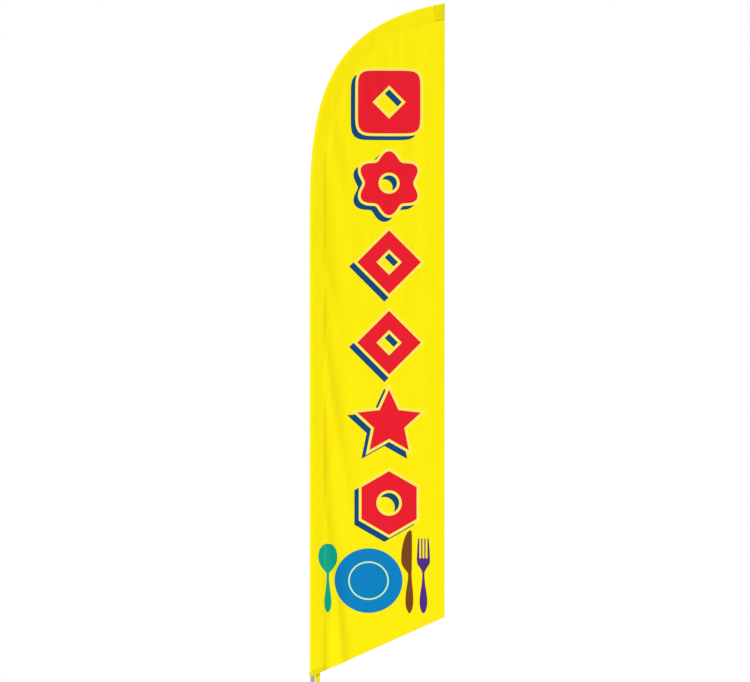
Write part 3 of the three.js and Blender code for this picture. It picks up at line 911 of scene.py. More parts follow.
def wrapped(stations, depth, side):
    """Points of the sleeve near the mast, on the front (-1), the outer line (0) or the back (1)."""
    x, z = sleeve_place(stations, depth)
    return np.stack([x, side * sleeve_half(depth, stations, x), z], axis=-1)


def wrap_points():
    """The cloth wrapped round the mast: columns from the front, round the nose, to the back seam."""
    stations = wrap_stations()
    near = JOIN_DEPTH * (1 - np.cos(np.linspace(0, math.pi / 2, 10)))
    columns = [wrapped(stations, abs(d), np.sign(d)) for d in (*-near[:0:-1], *near)]
    columns += [back_cloth(stations, depth) for depth in BACK_DEPTHS]
    return np.stack(columns, axis=1)


def cloth_outline():
    """The flat part's boundary, from the foot up the join, down the free edge and back along the hem."""
    join = np.stack(sleeve_place(wrap_stations(), JOIN_DEPTH), axis=-1)
    join[-1, 0] = RIGHT_X
    top, low = join[-1, 1], hem_z(RIGHT_X)
    down = np.linspace(top, low, int((top - low) / EDGE_STEP))[1:]
    right = np.stack([np.full(len(down), RIGHT_X), down], axis=-1)
    back = np.linspace(RIGHT_X, join[0, 0], int(FLAG_WIDTH / EDGE_STEP))[1:-1]
    bottom = np.stack([back, hem_z(back)], axis=-1)
    return np.concatenate([join, right, bottom])


def cloth_filling():
    """Points that fill the panel beyond the sleeve, in staggered rows."""
    grid = []
    for k, z in enumerate(np.arange(FOOT_Z, TIP_Z, CLOTH_STEP)):
        shift = (k % 2) * CLOTH_STEP / 2
        xs = np.arange(EDGE_X + FRONT_DEPTHS[-1] + shift, RIGHT_X - 4 * MM, CLOTH_STEP)
        grid += [(x, z) for x in xs if hem_z(x) + 5 * MM < z < top_z(x) - 5 * MM]
    grid = np.array(grid)
    depth, _ = depth_and_station(*grid.T)
    return grid[depth > FRONT_DEPTHS[-1] + 5 * MM]


def cloth_mesh():
    """Points, triangles and ink numbers of the flat cloth, cut along the print's outlines."""
    outline = cloth_outline()
    layers = print_layers()
    lines = [(outline, True)]
    stations = np.linspace(FOOT_Z, LAST, int((LAST - FOOT_Z) / LINE_STEP))
    for depth in FRONT_DEPTHS:
        x, z = sleeve_place(stations, depth)
        inner = (x < RIGHT_X - 1e-5) & (z > hem_z(x) + 1e-5)
        lines.append((np.stack([x[inner], z[inner]], axis=-1), False))
    lines += [(ring, True) for _, loop, holes in layers for ring in (loop, *holes)]
    points = []
    edges = []
    for line, closed in lines:
        edges += chain(len(points), len(line), closed)
        points.extend(line)
    points.extend(cloth_filling())
    flat, faces = triangulated(points, edges, 0, 1e-6)
    centres = flat[faces].mean(axis=1)
    kept = inside(outline, centres)
    faces, centres = faces[kept], centres[kept]
    ink = np.zeros(len(faces), np.int32)
    for name, loop, holes in layers:
        ink[within(loop, holes, centres)] = INK_ORDER.index(name)
    return flat, faces, ink


def flag_cloth():
    """Panel and sleeve as the one printed cloth that they are cut from."""
    flat, faces, ink = cloth_mesh()
    placed = front_cloth(*flat.T)
    wrap = wrap_points()
    wrap_faces = np.array(strip_faces(*wrap.shape[:2])) + len(placed)
    verts = np.concatenate([placed, wrap.reshape(-1, 3)])
    faces = [*faces, *wrap_faces]
    slots = np.concatenate([ink, np.zeros(len(wrap_faces), np.int32)])
    cloth = make_object("flag_cloth", verts, faces, FRONT_INKS + BACK_INKS, slots, sharp=180)
    with edited(cloth) as bm:
        bmesh.ops.delete(bm, geom=[v for v in bm.verts if not v.link_faces], context="VERTS")
        seam = list({v for e in bm.edges if e.is_boundary for v in e.verts})
        bmesh.ops.remove_doubles(bm, verts=seam, dist=0.05 * MM)
    inner_spot = Vector((RIGHT_X * 0.5, 0, 2.0))
    front = min(cloth.data.polygons, key=lambda p: (p.center - inner_spot).length)
    if front.normal.y > 0:
        cloth.data.flip_normals()
    cloth = sharpened(solidified(cloth, CLOTH, -1.0, len(INK_ORDER)), 50)
    settle(cloth, "mast", "cloth", "flag_panel", "pole_sleeve")


# ---- hems and stitches

HEM_SECTION = [(-0.7, -0.35), (-1.0, 0.3), (-0.6, 1.2), (0.8, 1.5), (12.2, 1.45), (13.0, 1.15),
               (13.0, 0.65), (0.8, 0.65), (0.6, -0.35)]  # mm: inside the edge, and over the front
STITCH_PITCH = 4.2 * MM
STITCH_SHARE = 0.74  # of its pitch that a stitch covers
THREAD_WIDTH = 0.42 * MM


def surface(x, z, lift=0.0):
    """Points on the cloth lifted along its normal, which faces back, and that normal."""
    x = np.asarray(x, float)
    z = np.asarray(z, float)
    step = 2 * MM
    right = front_cloth(np.minimum(x + step, RIGHT_X), z) - front_cloth(x - step, z)
    up = front_cloth(x, z + step) - front_cloth(x, z - step)
    normal = unit(np.cross(up, right))
    return front_cloth(x, z) + normal * lift, normal


def hem(name, xs, zs, inward):
    """A folded hem along an edge; inward is the direction into the cloth, in x and z."""
    columns = []
    for inset, lift in HEM_SECTION:
        deep = max(inset, 0.0) * MM
        spot, _ = surface(xs + inward[0] * deep, zs + inward[1] * deep, lift * MM)
        columns.append(spot + np.array([inward[0], 0.0, inward[1]]) * min(inset, 0.0) * MM)
    return lofted(name, np.stack(columns, axis=1), BACK_INKS[0], 50)


def free_edges():
    """x and z along the trailing edge, and along the lower hem, with their inward directions."""
    low = float(hem_z(RIGHT_X))
    high = float(edge_point(np.array([last_station(SEAM_DEPTH)]), SEAM_DEPTH)[1][0])
    right_z = np.linspace(low - 0.6 * MM, high - 6 * MM, 330)
    slope = math.atan2(HEM_RISE, FLAG_WIDTH)
    bottom_x = np.linspace(EDGE_X + SEAM_DEPTH + 8 * MM, RIGHT_X + 0.8 * MM, 84)
    return (
        (np.full(len(right_z), RIGHT_X), right_z, (-1.0, 0.0)),
        (bottom_x, hem_z(bottom_x), (-math.sin(slope), math.cos(slope))),
    )


def build_hems():
    """The two hemmed edges."""
    trailing, bottom = free_edges()
    for name, (xs, zs, inward), length in (
        ("trailing_hem", trailing, FLAG_HEIGHT - HEM_RISE - SEAM_DEPTH),
        ("bottom_hem", bottom, math.hypot(FLAG_WIDTH - SEAM_DEPTH, HEM_RISE)),
    ):
        piece = hem(name, xs, zs, inward)
        settle(piece, "mast", "cloth")


def stitch_verts(start, end, up):
    """Ten points of one stitch: a thread that dives into the cloth at both ends."""
    along = end - start
    half = THREAD_WIDTH * 0.5
    side = np.cross(along / np.linalg.norm(along), up) * half
    points = [start - up * THREAD_WIDTH * 0.3]
    for share in (0.2, 0.8):
        middle = start + along * share + up * THREAD_WIDTH * 0.45
        points += [middle + side, middle + up * THREAD_WIDTH * 0.45, middle - side, middle - up * half]
    points.append(end - up * THREAD_WIDTH * 0.3)
    return points


STITCH_FACES = [(0, 2, 1), (0, 3, 2), (0, 4, 3), (0, 1, 4), (1, 2, 6, 5), (2, 3, 7, 6), (3, 4, 8, 7),
                (4, 1, 5, 8), (9, 5, 6), (9, 6, 7), (9, 7, 8), (9, 8, 5)]


def points_at(distances, line):
    """Points at distances along a line."""
    run = run_along(line)
    return np.stack([np.interp(distances, run, column) for column in line.T], axis=-1)


def stitches(name, rows, pitch=STITCH_PITCH):
    """Rows of stitches; each row is (points along it, outward normals)."""
    verts = []
    faces = []
    for line, normals in rows:
        run = run_along(line)
        starts = np.arange(int(run[-1] / pitch)) * pitch
        ends = points_at(starts + STITCH_SHARE * pitch, line)
        for distance, start, end in zip(starts, points_at(starts, line), ends):
            up = normals[min(int(np.searchsorted(run, distance)), len(normals) - 1)]
            faces += [[len(verts) + corner for corner in face] for face in STITCH_FACES]
            verts += stitch_verts(start, end, up)
    return make_object(name, verts, faces, [THREAD], sharp=60)


def build_stitches():
    """The sleeve's double seam, on both sides, and the hems' single rows."""
    stations = np.linspace(FOOT_Z + 30 * MM, LAST - 62 * MM, 900)
    rows = []
    for depth in (SEAM_DEPTH + 1.5 * MM, SEAM_DEPTH + 6.5 * MM):
        x, z = sleeve_place(stations, depth)
        inner = x < RIGHT_X - 1 * MM
        spot, normal = surface(x[inner], z[inner], -0.05 * MM)
        rows.append((spot, -normal))
        rows.append((back_cloth(stations[inner], depth) + normal * 0.4 * MM, normal))
    settle(stitches("sleeve_seam_stitches", rows), "mast", "cloth")
    rows = []
    for xs, zs, inward in free_edges():
        px = xs + inward[0] * 10.5 * MM
        pz = zs + inward[1] * 10.5 * MM
        spot, normal = surface(px, pz, -0.05 * MM)
        rows.append((spot, -normal))
        rows.append(surface(px, pz, 1.45 * MM))
    settle(stitches("hem_stitches", rows), "mast", "cloth")


# ---- binding, pocket and tab

BINDING_FOLD = [(-0.9, 17.0), (-0.95, 2.0), (-0.75, -0.4), (0.0, -1.1), (0.95, -0.5), (1.2, 1.5),
                (1.2, 12.0), (1.15, 25.0)]  # mm: outside the cloth, and above the hem
POCKET_LENGTH = 58 * MM


def ring_depths(straight, nose, share, count):
    """Depths and sides (-1 front, 1 back) of points taken once round the sleeve, seam to seam."""
    depths = [*straight, *(nose * (1 - np.cos(np.linspace(math.pi * share, 0, count))))]
    sides = np.repeat([-1.0, 1.0], [len(depths), len(depths) - 1])
    return np.array(depths + depths[-2::-1]), sides


def sleeve_ring(height, grow):
    """One turn round the sleeve, a height above the hem and grown outwards."""
    straight = (SEAM_DEPTH + 6 * MM, SEAM_DEPTH - 6 * MM, 60 * MM, 45 * MM)
    depth, side = ring_depths(straight, NOSE_STRAIGHT, 0.7, 12)
    x = EDGE_X + depth
    z = hem_z(x) + height
    flat = np.stack([x, side * sleeve_half(depth, z, x)], axis=-1)
    tangent = np.gradient(flat, axis=0)
    normal = unit(np.stack([tangent[:, 1], -tangent[:, 0]], axis=-1))
    if normal[len(normal) // 2, 0] > 0:
        normal = -normal
    return np.column_stack([flat + normal * grow, z])


def sideways(line):
    """Normals along a line that point away from the flag's plane."""
    normals = np.zeros_like(line)
    normals[:, 1] = np.where(line[:, 1] < 0, -1.0, 1.0)
    return normals


def sew_on(name, grid, thickness, node):
    """A piece of webbing folded round the sleeve, from a grid of its points."""
    piece = make_object(name, grid.reshape(-1, 3), strip_faces(*grid.shape[:2]), [WEBBING], sharp=60)
    piece = solidified(piece, thickness)
    settle(piece, "mast", "webbing", node)


def build_binding():
    """The webbing folded over the sleeve's open mouth."""
    grid = np.stack([sleeve_ring(height * MM, grow * MM) for grow, height in BINDING_FOLD])
    sew_on("mouth_webbing", grid, 0.5 * MM, "mouth_binding")
    rows = []
    for height in (5 * MM, 20 * MM):
        ring = sleeve_ring(height, 1.5 * MM)
        normals = sideways(ring)
        nose = np.abs(ring[:, 0] - EDGE_X) < NOSE_STRAIGHT
        normals[nose] = unit(ring[nose] * (1, 1, 0))
        rows.append((ring, normals))
    settle(stitches("mouth_stitches", rows, 3.4 * MM), "mast", "webbing")


def pocket_grid(grow):
    """The sleeve's end seen as a grid of rows along it and columns round it, grown outwards."""
    stations = np.linspace(LAST - POCKET_LENGTH, LAST, 26)
    _, _, tx, tz = edge_frame(stations)
    straight = (SEAM_DEPTH + 7 * MM, SEAM_DEPTH, 60 * MM, 45 * MM, 32 * MM)
    columns = []
    for depth, side in zip(*ring_depths(straight, NOSE_TIP, 0.68, 9)):
        x, z = sleeve_place(stations, depth)
        y = side * (sleeve_half(depth, stations, x) + 0.3 * MM + grow * min(depth / NOSE_TIP, 1.0))
        if depth > SEAM_DEPTH:
            y = y + drape(x, z)[:, 1]
        outward = grow * max(1 - depth / NOSE_TIP, 0.0)
        columns.append(np.stack([x - outward * tz, y, z + outward * tx], axis=-1))
    return np.stack(columns, axis=1)


def build_pocket():
    """The patch over the sleeve's closed end, sewn across near its ends and crosswise on both sides."""
    sew_on("tip_patch", pocket_grid(0.9 * MM), 0.7 * MM, "tip_pocket")
    outer = pocket_grid(1.6 * MM)
    rows = len(outer)
    lines = [outer[1], outer[rows - 3]]
    share = np.linspace(0, 1, 24)
    for block in (outer[:, 1:6], outer[:, -6:-1]):
        last = block.shape[1] - 1
        r = (share * (rows - 4) + 1).astype(int)
        for c in (share * last, (1 - share) * last):
            left = np.minimum(c.astype(int), last - 1)
            part = (c - left)[:, None]
            lines.append(block[r, left] * (1 - part) + block[r, left + 1] * part)
    sewn = stitches("tip_stitches", [(line, sideways(line)) for line in lines], 3.6 * MM)
    settle(sewn, "mast", "webbing")


def build_tab():
    """A doubled strap that hangs from inside the sleeve's mouth and is folded round the eyelet."""
    low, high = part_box("tension_tab")
    grommet_low, grommet_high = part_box("tab_grommet")
    middle = (low.x + high.x) / 2
    half = (high.x - low.x) / 2
    eyelet = (grommet_low.z + grommet_high.z) / 2
    bore = 6.3 * MM
    top = high.z + 22 * MM
    ply = 0.75 * MM

    def bowed(piece):
        """Bows the strap's free length a little out of its plane."""
        for v in piece.data.vertices:
            bow = math.sin((v.co.z - low.z) / (top - low.z) * math.pi) * 1.1 * MM
            fade = min(max((v.co.z - eyelet - 12 * MM) / (20 * MM), 0.0), 1.0)
            v.co.y += bow * fade * math.sin(v.co.z * 90)
        piece.data.update()
        return piece

    steps = np.linspace(low.z + half, top, 44)
    left = [(-half, z) for z in steps[::-1]]
    right = [(half, z) for z in steps]
    outline = [*left, *arc((0, eyelet), -half, 0, math.pi, 26)[1:-1], *right]
    hole = ellipse((0, eyelet), bore, bore, 32)
    tab = extruded("tension_strap", [outline, hole], 2 * ply, WEBBING, forwards(middle, 0))
    tab = bevelled(sharpened(bowed(tab)), 0.25 * MM, 2)
    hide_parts("tension_tab")

    seam = half - 2.2 * MM
    start = eyelet + 14 * MM
    lines = []
    for y in (-ply - 0.2 * MM, ply + 0.2 * MM):
        for x in (middle - seam, middle + seam):
            lines.append(np.linspace((x, y, start), (x, y, top - 24 * MM), 60))
        for z in (start, start + 26 * MM):
            lines.append(np.linspace((middle - seam, y, z), (middle + seam, y, z), 20))
    sewn = bowed(stitches("strap_stitches", [(line, sideways(line)) for line in lines], 3.4 * MM))
    for piece in (tab, sewn):
        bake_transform(piece)


# ---- mast

TUBE_WALL = 1.2 * MM
BUTTON_HOLE = 3.9 * MM  # its radius


def button_z():
    """Height of the lock button's axis."""
    low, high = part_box("lock_button")
    return (low.z + high.z) / 2


def finish_section(made, node):
    """Drills the lock button's hole through a mast section's front wall."""
    drill(made, BUTTON_HOLE, 6 * MM, 18 * MM, 40, forwards(0, button_z()))
    settle(sharpened(made, 30), "mast", "aluminium", node)


def build_mast():
    """The two sections that show below the sleeve, the ring at their joint and the foot's bush."""
    low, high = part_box("pole_section_1")
    outer = high.x
    profile = [
        (outer - TUBE_WALL, low.z),
        (outer - 0.3 * MM, low.z),
        (outer, low.z + 0.3 * MM),
        (outer, high.z - 9 * MM),
        (outer - 0.25 * MM, high.z - 8 * MM),
        (outer - 0.25 * MM, high.z - 0.5 * MM),
        (outer - 0.6 * MM, high.z),
        (outer - TUBE_WALL, high.z),
    ]
    finish_section(turned("mast_tube_1", profile, ALUMINIUM), "pole_section_1")

    low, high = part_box("pole_section_2")
    outer = high.x
    section = tube("mast_tube_2", outer - TUBE_WALL, outer, low.z, high.z, ALUMINIUM)
    finish_section(section, "pole_section_2")

    low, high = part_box("stop_ring_1")
    ring = tube("joint_collar_1", outer + 0.3 * MM, high.x, low.z, high.z, NYLON)
    settle(bevelled(ring, 1.2 * MM), "mast", "nylon", "stop_ring_1")

    low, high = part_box("foot_bush")
    inner, shell, flange = 10.3 * MM, 11.0 * MM, high.x
    rim = low.z + 2.3 * MM
    profile = [(inner, low.z), (flange, low.z), (flange, rim), (shell, rim)]
    profile += [(shell, high.z), (inner, high.z)]
    bush = bevelled(turned("foot_bushing", profile, NYLON), 0.4 * MM, 2, 40)
    settle(bush, "mast", "nylon", "foot_bush")


def build_button():
    """The sprung lock button."""
    low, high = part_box("lock_button")
    foot, crown = -high.y, -low.y
    flange, radius, dome = 5 * MM, 3.5 * MM, 2.2 * MM
    rim = foot + MM
    profile = [(0, foot), (flange, foot), (flange, rim), (radius, rim), (radius, crown - dome)]
    profile += [*arc((0, crown - dome), (radius, dome), 0.25, 1.35, 6), (0, crown)]
    knob = turned("snap_button", profile, PLATED, 48, forwards(0, button_z()))
    settle(knob, "button", "plated_steel", "lock_button")


def build_spring():
    """The V-shaped leaf spring behind the button, made as one fixed piece; in the real part one arm moves
    with the button and the other stays at the mast.
    """
    low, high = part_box("button_spring")
    half_thick = 0.35 * MM
    bend = 1.6 * MM
    front, back = low.y + half_thick, high.y - half_thick
    foot = low.z + half_thick + bend
    line = np.concatenate([
        np.linspace((front, high.z), (-bend, foot), 14),
        arc((0, foot), -bend, 0, math.pi, 14)[1:-1],
        np.linspace((bend, foot), (back, high.z), 14),
    ])
    tangent = unit(np.gradient(line, axis=0))
    normal = np.stack([-tangent[:, 1], tangent[:, 0]], axis=-1) * half_thick
    corners = ((low.x, -1), (high.x, -1), (high.x, 1), (low.x, 1))
    rings = [[(x, *(spot + side * out)) for x, side in corners] for spot, out in zip(line, normal)]
    spring = lofted("leaf_spring", rings, PLATED, 50)
    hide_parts("button_spring")
    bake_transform(spring)


# ---- collar

MAST_HOLE = 12.8 * MM  # these three are radii
SCREW_HOLE = 2.8 * MM
WIRE_HOLE = 2.3 * MM
HOOK_RADIUS = 2 * MM
HOOK_ARCH_Z = 921 * MM


def hook_place():
    """x of the plane that the hook's wire is bent in, and how far behind the flag it stands."""
    low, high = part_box("tension_hook")
    return (low.x + high.x) / 2, high.y - HOOK_RADIUS


def build_collar():
    """Clamp collar with its lug, screw boss and holes."""
    low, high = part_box("hook_collar")
    middle = (low.z + high.z) / 2
    half = (high.z - low.z) / 2 - 0.01 * MM
    x0, x1, y0, y1 = 8 * MM, high.x, -4 * MM, high.y
    square = ((x0, y0), (x1, y0), (x1, y1), (x0, y1))
    lug = lofted("lug", [[(x, y, z) for x, y in square] for z in (middle - half, middle + half)], NYLON)
    boss, start, end = 8 * MM, 10 * MM, -low.y
    profile = [(0, start), (boss, start), (boss, end - MM), (boss - MM, end), (0, end)]
    ring = tube("collar_ring", 0, -low.x, low.z, high.z, NYLON)
    combined(ring, bevelled(lug, 3.2 * MM, 5, 60), "UNION")
    combined(ring, turned("boss", profile, NYLON, 64, forwards(0, middle)), "UNION")
    drill(ring, MAST_HOLE, low.z - 10 * MM, high.z + 10 * MM, 96)
    drill(ring, SCREW_HOLE, 5 * MM, 40 * MM, 40, forwards(0, middle))
    drill(ring, WIRE_HOLE, low.z + 5 * MM, high.z + MM, 32, Matrix.Translation((*hook_place(), 0)))
    ring = sharpened(bevelled(ring, 0.5 * MM, 2), 40)
    settle(ring, "collar", "nylon", "hook_collar")


def build_hook():
    """The wire hook: up from the collar behind the tab, over it, and a little way down in front."""
    hook_x, bend = hook_place()
    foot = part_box("hook_collar")[0].z + 6 * MM
    rise = np.linspace((bend, foot), (bend, HOOK_ARCH_Z), 10)
    over = arc((0, HOOK_ARCH_Z), bend, 0, math.pi, 24)[1:]
    fall = np.linspace((-bend, HOOK_ARCH_Z), (-bend, HOOK_ARCH_Z - 8 * MM), 6)[1:]
    points = [(hook_x, y, z) for y, z in (*rise, *over, *fall)]
    radii = np.full(len(points), HOOK_RADIUS)
    radii[-2:] = (1.7 * MM, 1.0 * MM)
    wire = swept("wire_hook", points, radii, PLATED, 28, (1, 0, 0))
    settle(wire, "collar", "plated_steel", "tension_hook")


def build_eyelet():
    """The two-sided metal eyelet in the tab."""
    low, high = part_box("tab_grommet")
    face = high.y
    bore, flange = 5 * MM, (high.x - low.x) / 2
    section = [
        (bore + 1.1 * MM, 0.8 * MM),
        (flange, face - 0.5 * MM),
        (flange, face - 0.2 * MM),
        (flange - 0.8 * MM, face),
        (bore + 1.2 * MM, face),
        (bore + 0.3 * MM, face - 0.35 * MM),
        (bore, face - MM),
    ]
    profile = [(r, -y) for r, y in section] + [(r, y) for r, y in reversed(section)]
    place = forwards((low.x + high.x) / 2, (low.z + high.z) / 2)
    settle(turned("eyelet", profile, PLATED, 64, place), "collar", "plated_steel", "tab_grommet")


def build_thumbscrew():
    """A fluted nylon knob on a threaded shank."""
    low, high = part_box("thumbscrew")
    place = forwards(0, (low.z + high.z) / 2)
    radius = (high.z - low.z) / 2
    start, knob, end = -high.y, 26 * MM, -low.y
    sides, flutes = 160, 20
    cut = 0.7 * MM * np.maximum(np.cos(angles(sides) * flutes), 0.0)
    levels = [(0.6, knob), (0.93, knob + 0.4 * MM), (1.0, knob + 1.2 * MM), (1.0, knob + 8.8 * MM),
              (0.93, knob + 9.7 * MM), (0.72, knob + 10 * MM), (0.7, end - 0.6 * MM), (0.62, end),
              (0.4, end), (0.34, end - 0.5 * MM)]
    rings = [level_ring(radius * share - cut * (share > 0.9), z, sides) for share, z in levels]
    head = lofted("thumbscrew_knob", rings, NYLON, 40)
    head.data.transform(place)
    thread = []
    z = start
    while z < knob + 0.5 * MM:
        thread += [(2.1 * MM, z), (2.5 * MM, z + 0.4 * MM)]
        z += 0.8 * MM
    profile = [(0, start), *thread, (0, knob + MM)]
    shank = turned("thumbscrew_shank", profile, PLATED, 48, place)
    settle(head, "clamp_screw", "nylon", "thumbscrew")
    settle(shank, "clamp_screw", "plated_steel")


# ---- bearing head and spike

WELD_STEP = 0.7 * MM
WELD_RIPPLE = 2.6 * MM


def build_head():
    """Dust cap, bearing housing with its bolts, and step plate."""
    low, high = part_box("dust_cap")
    bore, outer, skirt, corner = 9.3 * MM, high.x, high.x - 2 * MM, 2.2 * MM
    top = high.z
    profile = [(bore, top - 2 * MM), (skirt, top - 2 * MM), (skirt, low.z), (outer - 0.4 * MM, low.z),
               (outer, low.z + 0.5 * MM), (outer, top - corner)]
    profile += [*arc((outer - corner, top - corner), corner, 0.2, math.pi / 2, 7)]
    groove = top - 0.4 * MM
    profile += [(16 * MM, top), (15.6 * MM, groove), (14.6 * MM, groove), (14.2 * MM, top), (bore, top)]
    settle(turned("bearing_cap", profile, NYLON, 128), "rotor", "nylon", "dust_cap")

    low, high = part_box("bearing_housing")
    foot, flange, body, seat, bore = low.z, high.x, 24 * MM, 16.3 * MM, 11.5 * MM
    top, ledge, well = foot + 4 * MM, foot + 10.7 * MM, foot + 5 * MM
    profile = [(0, foot), (flange - 0.8 * MM, foot), (flange, foot + 0.8 * MM), (flange, top - 0.8 * MM),
               (flange - 0.8 * MM, top)]
    profile += [*arc((body + 3 * MM, top + 3 * MM), -3 * MM, math.pi / 2, 0, 6)]
    profile += [(body, high.z - 2.2 * MM), (body - 2 * MM, high.z), (seat, high.z)]
    profile += [(seat, ledge), (bore, ledge), (bore, well), (0, well)]
    housing = turned("bearing_cup", profile, COATED, 128)
    settle(housing, "spike", "coated_steel", "bearing_housing")
    for i in range(1, 5):
        hex_bolt(i)
    build_step_plate()


def hex_bolt(number):
    """A bolt with a chamfered hexagon head."""
    low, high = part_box(f"housing_bolt_{number}")
    x, y = (low.x + high.x) / 2, (low.y + high.y) / 2
    across, shank, sides = 4.6 * MM, 2.5 * MM, 48
    head = high.z - 3.6 * MM
    flat_to_middle = across * math.cos(math.pi / 6)
    hexagon = flat_to_middle / np.cos(angles(sides) % (math.pi / 3) - math.pi / 6)
    levels = [(shank, low.z), (shank, head), (hexagon, head), (hexagon, high.z - 0.7 * MM)]
    levels.append((across * 0.8, high.z))
    rings = [level_ring(radius, z, sides, x, y) for radius, z in levels]
    bolt = lofted(f"hex_bolt_{number}", rings, PLATED, 30)
    settle(bolt, "spike", "plated_steel", f"housing_bolt_{number}")


def tread_rings(x, y, turn):
    """Three rings of a raised, soft-ended bar on the step plate, wide at the bottom."""
    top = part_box("step_plate")[1].z
    length, width, rise = 10 * MM, 1.7 * MM, 1.3 * MM
    a = angles(16)
    along = length * np.copysign(np.abs(np.cos(a)) ** 0.7, np.cos(a))
    across = width * np.copysign(np.abs(np.sin(a)) ** 0.7, np.sin(a))
    px = along * math.cos(turn) - across * math.sin(turn)
    py = along * math.sin(turn) + across * math.cos(turn)
    levels = ((1.0, -0.2 * MM), (0.93, rise * 0.6), (0.75, rise))
    return [np.stack([x + s * px, y + s * py, np.full(16, top + h)], axis=-1) for s, h in levels]


def build_step_plate():
    """Pressed steel plate with rounded corners and raised tread bars."""
    low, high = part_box("step_plate")
    corner = 12 * MM
    x, y = high.x - corner, high.y - corner
    outline = []
    for k, centre in enumerate(((x, y), (-x, y), (-x, -y), (x, -y))):
        outline += [*arc(centre, corner, k * TURN / 4, (k + 1) * TURN / 4, 12)]
    hole = arc((0, 0), 8.3 * MM, 0, -TURN, 49)[:-1]
    place = Matrix.Translation((0, 0, (low.z + high.z) / 2))
    plate = extruded("tread_plate", [outline, hole], high.z - low.z, COATED, place)
    plate = sharpened(bevelled(dissolved(plate), 0.9 * MM), 40)
    settle(plate, "spike", "coated_steel", "step_plate")
    verts = []
    faces = []
    for side in (-1, 1):
        for bar_x in (46 * MM, 55 * MM, 64 * MM):
            for lean in (-1, 1):
                rings = tread_rings(side * bar_x, lean * 17 * MM, lean * side * math.radians(38))
                points, quads = skin(rings, len(verts))
                verts += [*points]
                faces += quads
    bars = make_object("tread_bars", verts, faces, [COATED])
    settle(sharpened(bars, 60), "spike", "coated_steel")


def weld_bead(name, path, radius):
    """A row of overlapping weld ripples along a path."""
    p = np.array(path, float)
    samples = np.arange(0, run_along(p)[-1], WELD_STEP)
    ripple = radius * (1 + 0.14 * np.sin(samples / WELD_RIPPLE * TURN))
    ripple[[0, -1]] *= 0.4
    bead = swept(name, points_at(samples, p), ripple, COATED, 12, (0.31, 0.52, 0.79), 80)
    settle(bead, "spike", "coated_steel")


def build_spike():
    """Pointed shaft, its four blades and their welds."""
    low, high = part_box("spike_shaft")
    radius = high.x
    point = low.z + 70 * MM
    profile = [(0, low.z), (1.2 * MM, low.z + 1.5 * MM), (radius - 0.4 * MM, point - 3 * MM),
               (radius, point + 2 * MM), (radius, high.z), (0, high.z)]
    shaft = turned("spike_rod", profile, COATED, 72)
    settle(shaft, "spike", "coated_steel", "spike_shaft")
    root, reach, depth, top = 8.3 * MM, 30 * MM, 250 * MM, -0.3 * MM
    outline = [(root, top), (root, -depth), (root + 4 * MM, -depth), (reach, -depth / 2), (reach, top)]
    for i in range(4):
        angle = TURN / 8 + i * TURN / 4
        place = Matrix.Rotation(angle, 4, "Z") @ forwards(0, 0)
        blade = extruded(f"spike_blade_{i + 1}", [outline], 4 * MM, COATED, place)
        blade = sharpened(bevelled(dissolved(blade), 0.8 * MM), 40)
        settle(blade, "spike", "coated_steel", f"spike_fin_{i + 1}")
        for letter, offset in (("a", angle - 0.31), ("b", angle + 0.31)):
            x, y = radius * 1.02 * math.cos(offset), radius * 1.02 * math.sin(offset)
            foot = [(x, y, z * MM) for z in range(-244, -6, 6)]
            weld_bead(f"blade_weld_{i + 1}_{letter}", foot, 1.5 * MM)
    circle = arc((0, 0), radius * 1.06, 0, TURN, 60)
    weld_bead("shaft_weld", [(x, y, -0.9 * MM) for x, y in circle], 1.6 * MM)


def finish_cad_nodes():
    """The CAD nodes that stay: mostly inside the sleeve or the housing."""
    parts = ("inner_race", "outer_race", "ball_cage")
    bearings = [f"{place}_{part}" for place in ("lower", "upper") for part in parts]
    for material, nodes in (
        (ALUMINIUM, ["pole_section_3"]),
        (FIBREGLASS, ["pole_section_4", "pole_section_5"]),
        (NYLON, ["stop_ring_2", "stop_ring_3", "stop_ring_4", "guide_bush"]),
        (RUBBER, ["tip_cap"]),
        (PLATED, ["spindle", "spindle_nut", "inner_spacer", "outer_spacer", "retaining_ring"]),
        (BEARING, bearings),
    ):
        for node in nodes:
            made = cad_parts[node]
            made.data.materials.clear()
            made.data.materials.append(material)
            sharpened(made)


# ---- floor, light and camera

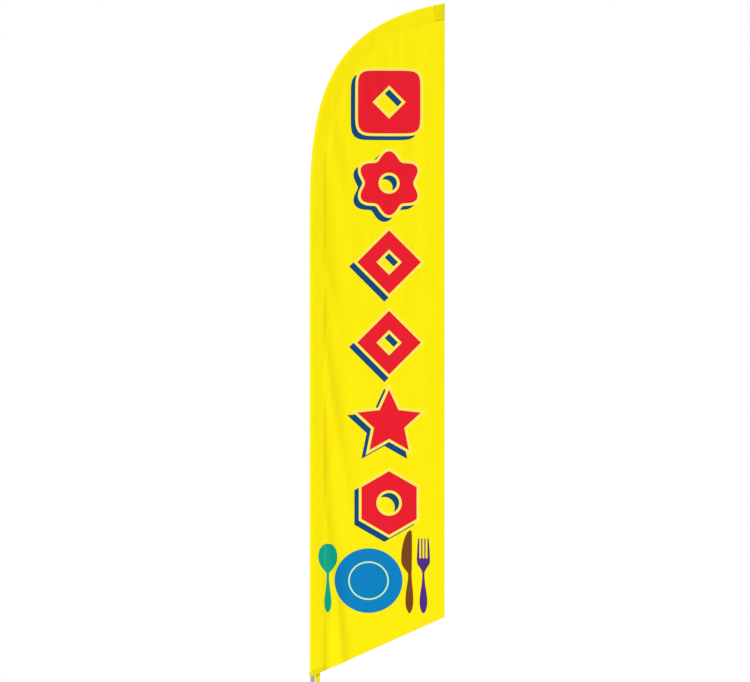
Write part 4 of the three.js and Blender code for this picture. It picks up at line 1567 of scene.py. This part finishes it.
def build_floor():
    """A plain pale floor under the spike's point."""
    look = new_look("studio_floor")
    speckle = look.remap(look.noise(6.0), 0.0, 1.0)
    material = look.finish(
        Base_Color=look.mixed(speckle, (0.9, 0.9, 0.9), (0.885, 0.885, 0.888)),
        Roughness=0.85,
        Specular_IOR_Level=0.2,
    )
    place = (0.2, 0, SPIKE_TIP_Z - MM)
    bpy.ops.mesh.primitive_circle_add(vertices=128, radius=24, fill_type="NGON", location=place)
    floor = bpy.context.object
    floor.name = "floor"
    floor.data.materials.append(material)


def build_light():
    """A white studio that the camera sees brighter than the object does, and three soft suns."""
    look = Look(bpy.data.worlds.new("studio"), "Background")
    seen = look.node("LightPath", "Is Camera Ray", {})
    strength = look.node("MapRange", "Result", {"Value": seen, "To Min": 0.5, "To Max": 1.0})
    bpy.context.scene.world = look.finish(Color=(1, 1, 1), Strength=strength)
    suns = (("key", 1.45, 58, -38), ("fill", 0.35, 62, 55), ("rear", 1.0, 55, 150))
    for name, energy, tilt, heading in suns:
        data = bpy.data.lights.new(name, "SUN")
        data.energy = energy
        data.angle = math.radians(18)
        lamp = bpy.data.objects.new(name, data)
        lamp.rotation_euler = (math.radians(tilt), 0, math.radians(heading))
        bpy.context.scene.collection.objects.link(lamp)
    bpy.context.scene.view_settings.view_transform = "Standard"


def build_camera():
    """A long lens, level with the flag's middle, that frames the flag alone."""
    data = bpy.data.cameras.new("camera")
    data.lens = 300
    data.sensor_width = 36
    data.clip_end = 400
    view_width = 1.1132 * FLAG_HEIGHT  # this and the shares below are the photograph's framing
    distance = view_width / data.sensor_width * data.lens
    camera = bpy.data.objects.new("camera", data)
    camera.location = (EDGE_X + 0.4835 * FLAG_WIDTH, -distance, TIP_Z - 0.5011 * FLAG_HEIGHT)
    camera.rotation_euler = (math.pi / 2, 0, 0)
    bpy.context.scene.collection.objects.link(camera)
    bpy.context.scene.camera = camera


build_camera()
build_light()
build_floor()
flag_cloth()
build_hems()
build_stitches()
build_binding()
build_pocket()
build_tab()
build_mast()
build_button()
build_spring()
build_collar()
build_hook()
build_eyelet()
build_thumbscrew()
build_head()
build_spike()
finish_cad_nodes()

bpy.context.view_layer.update()
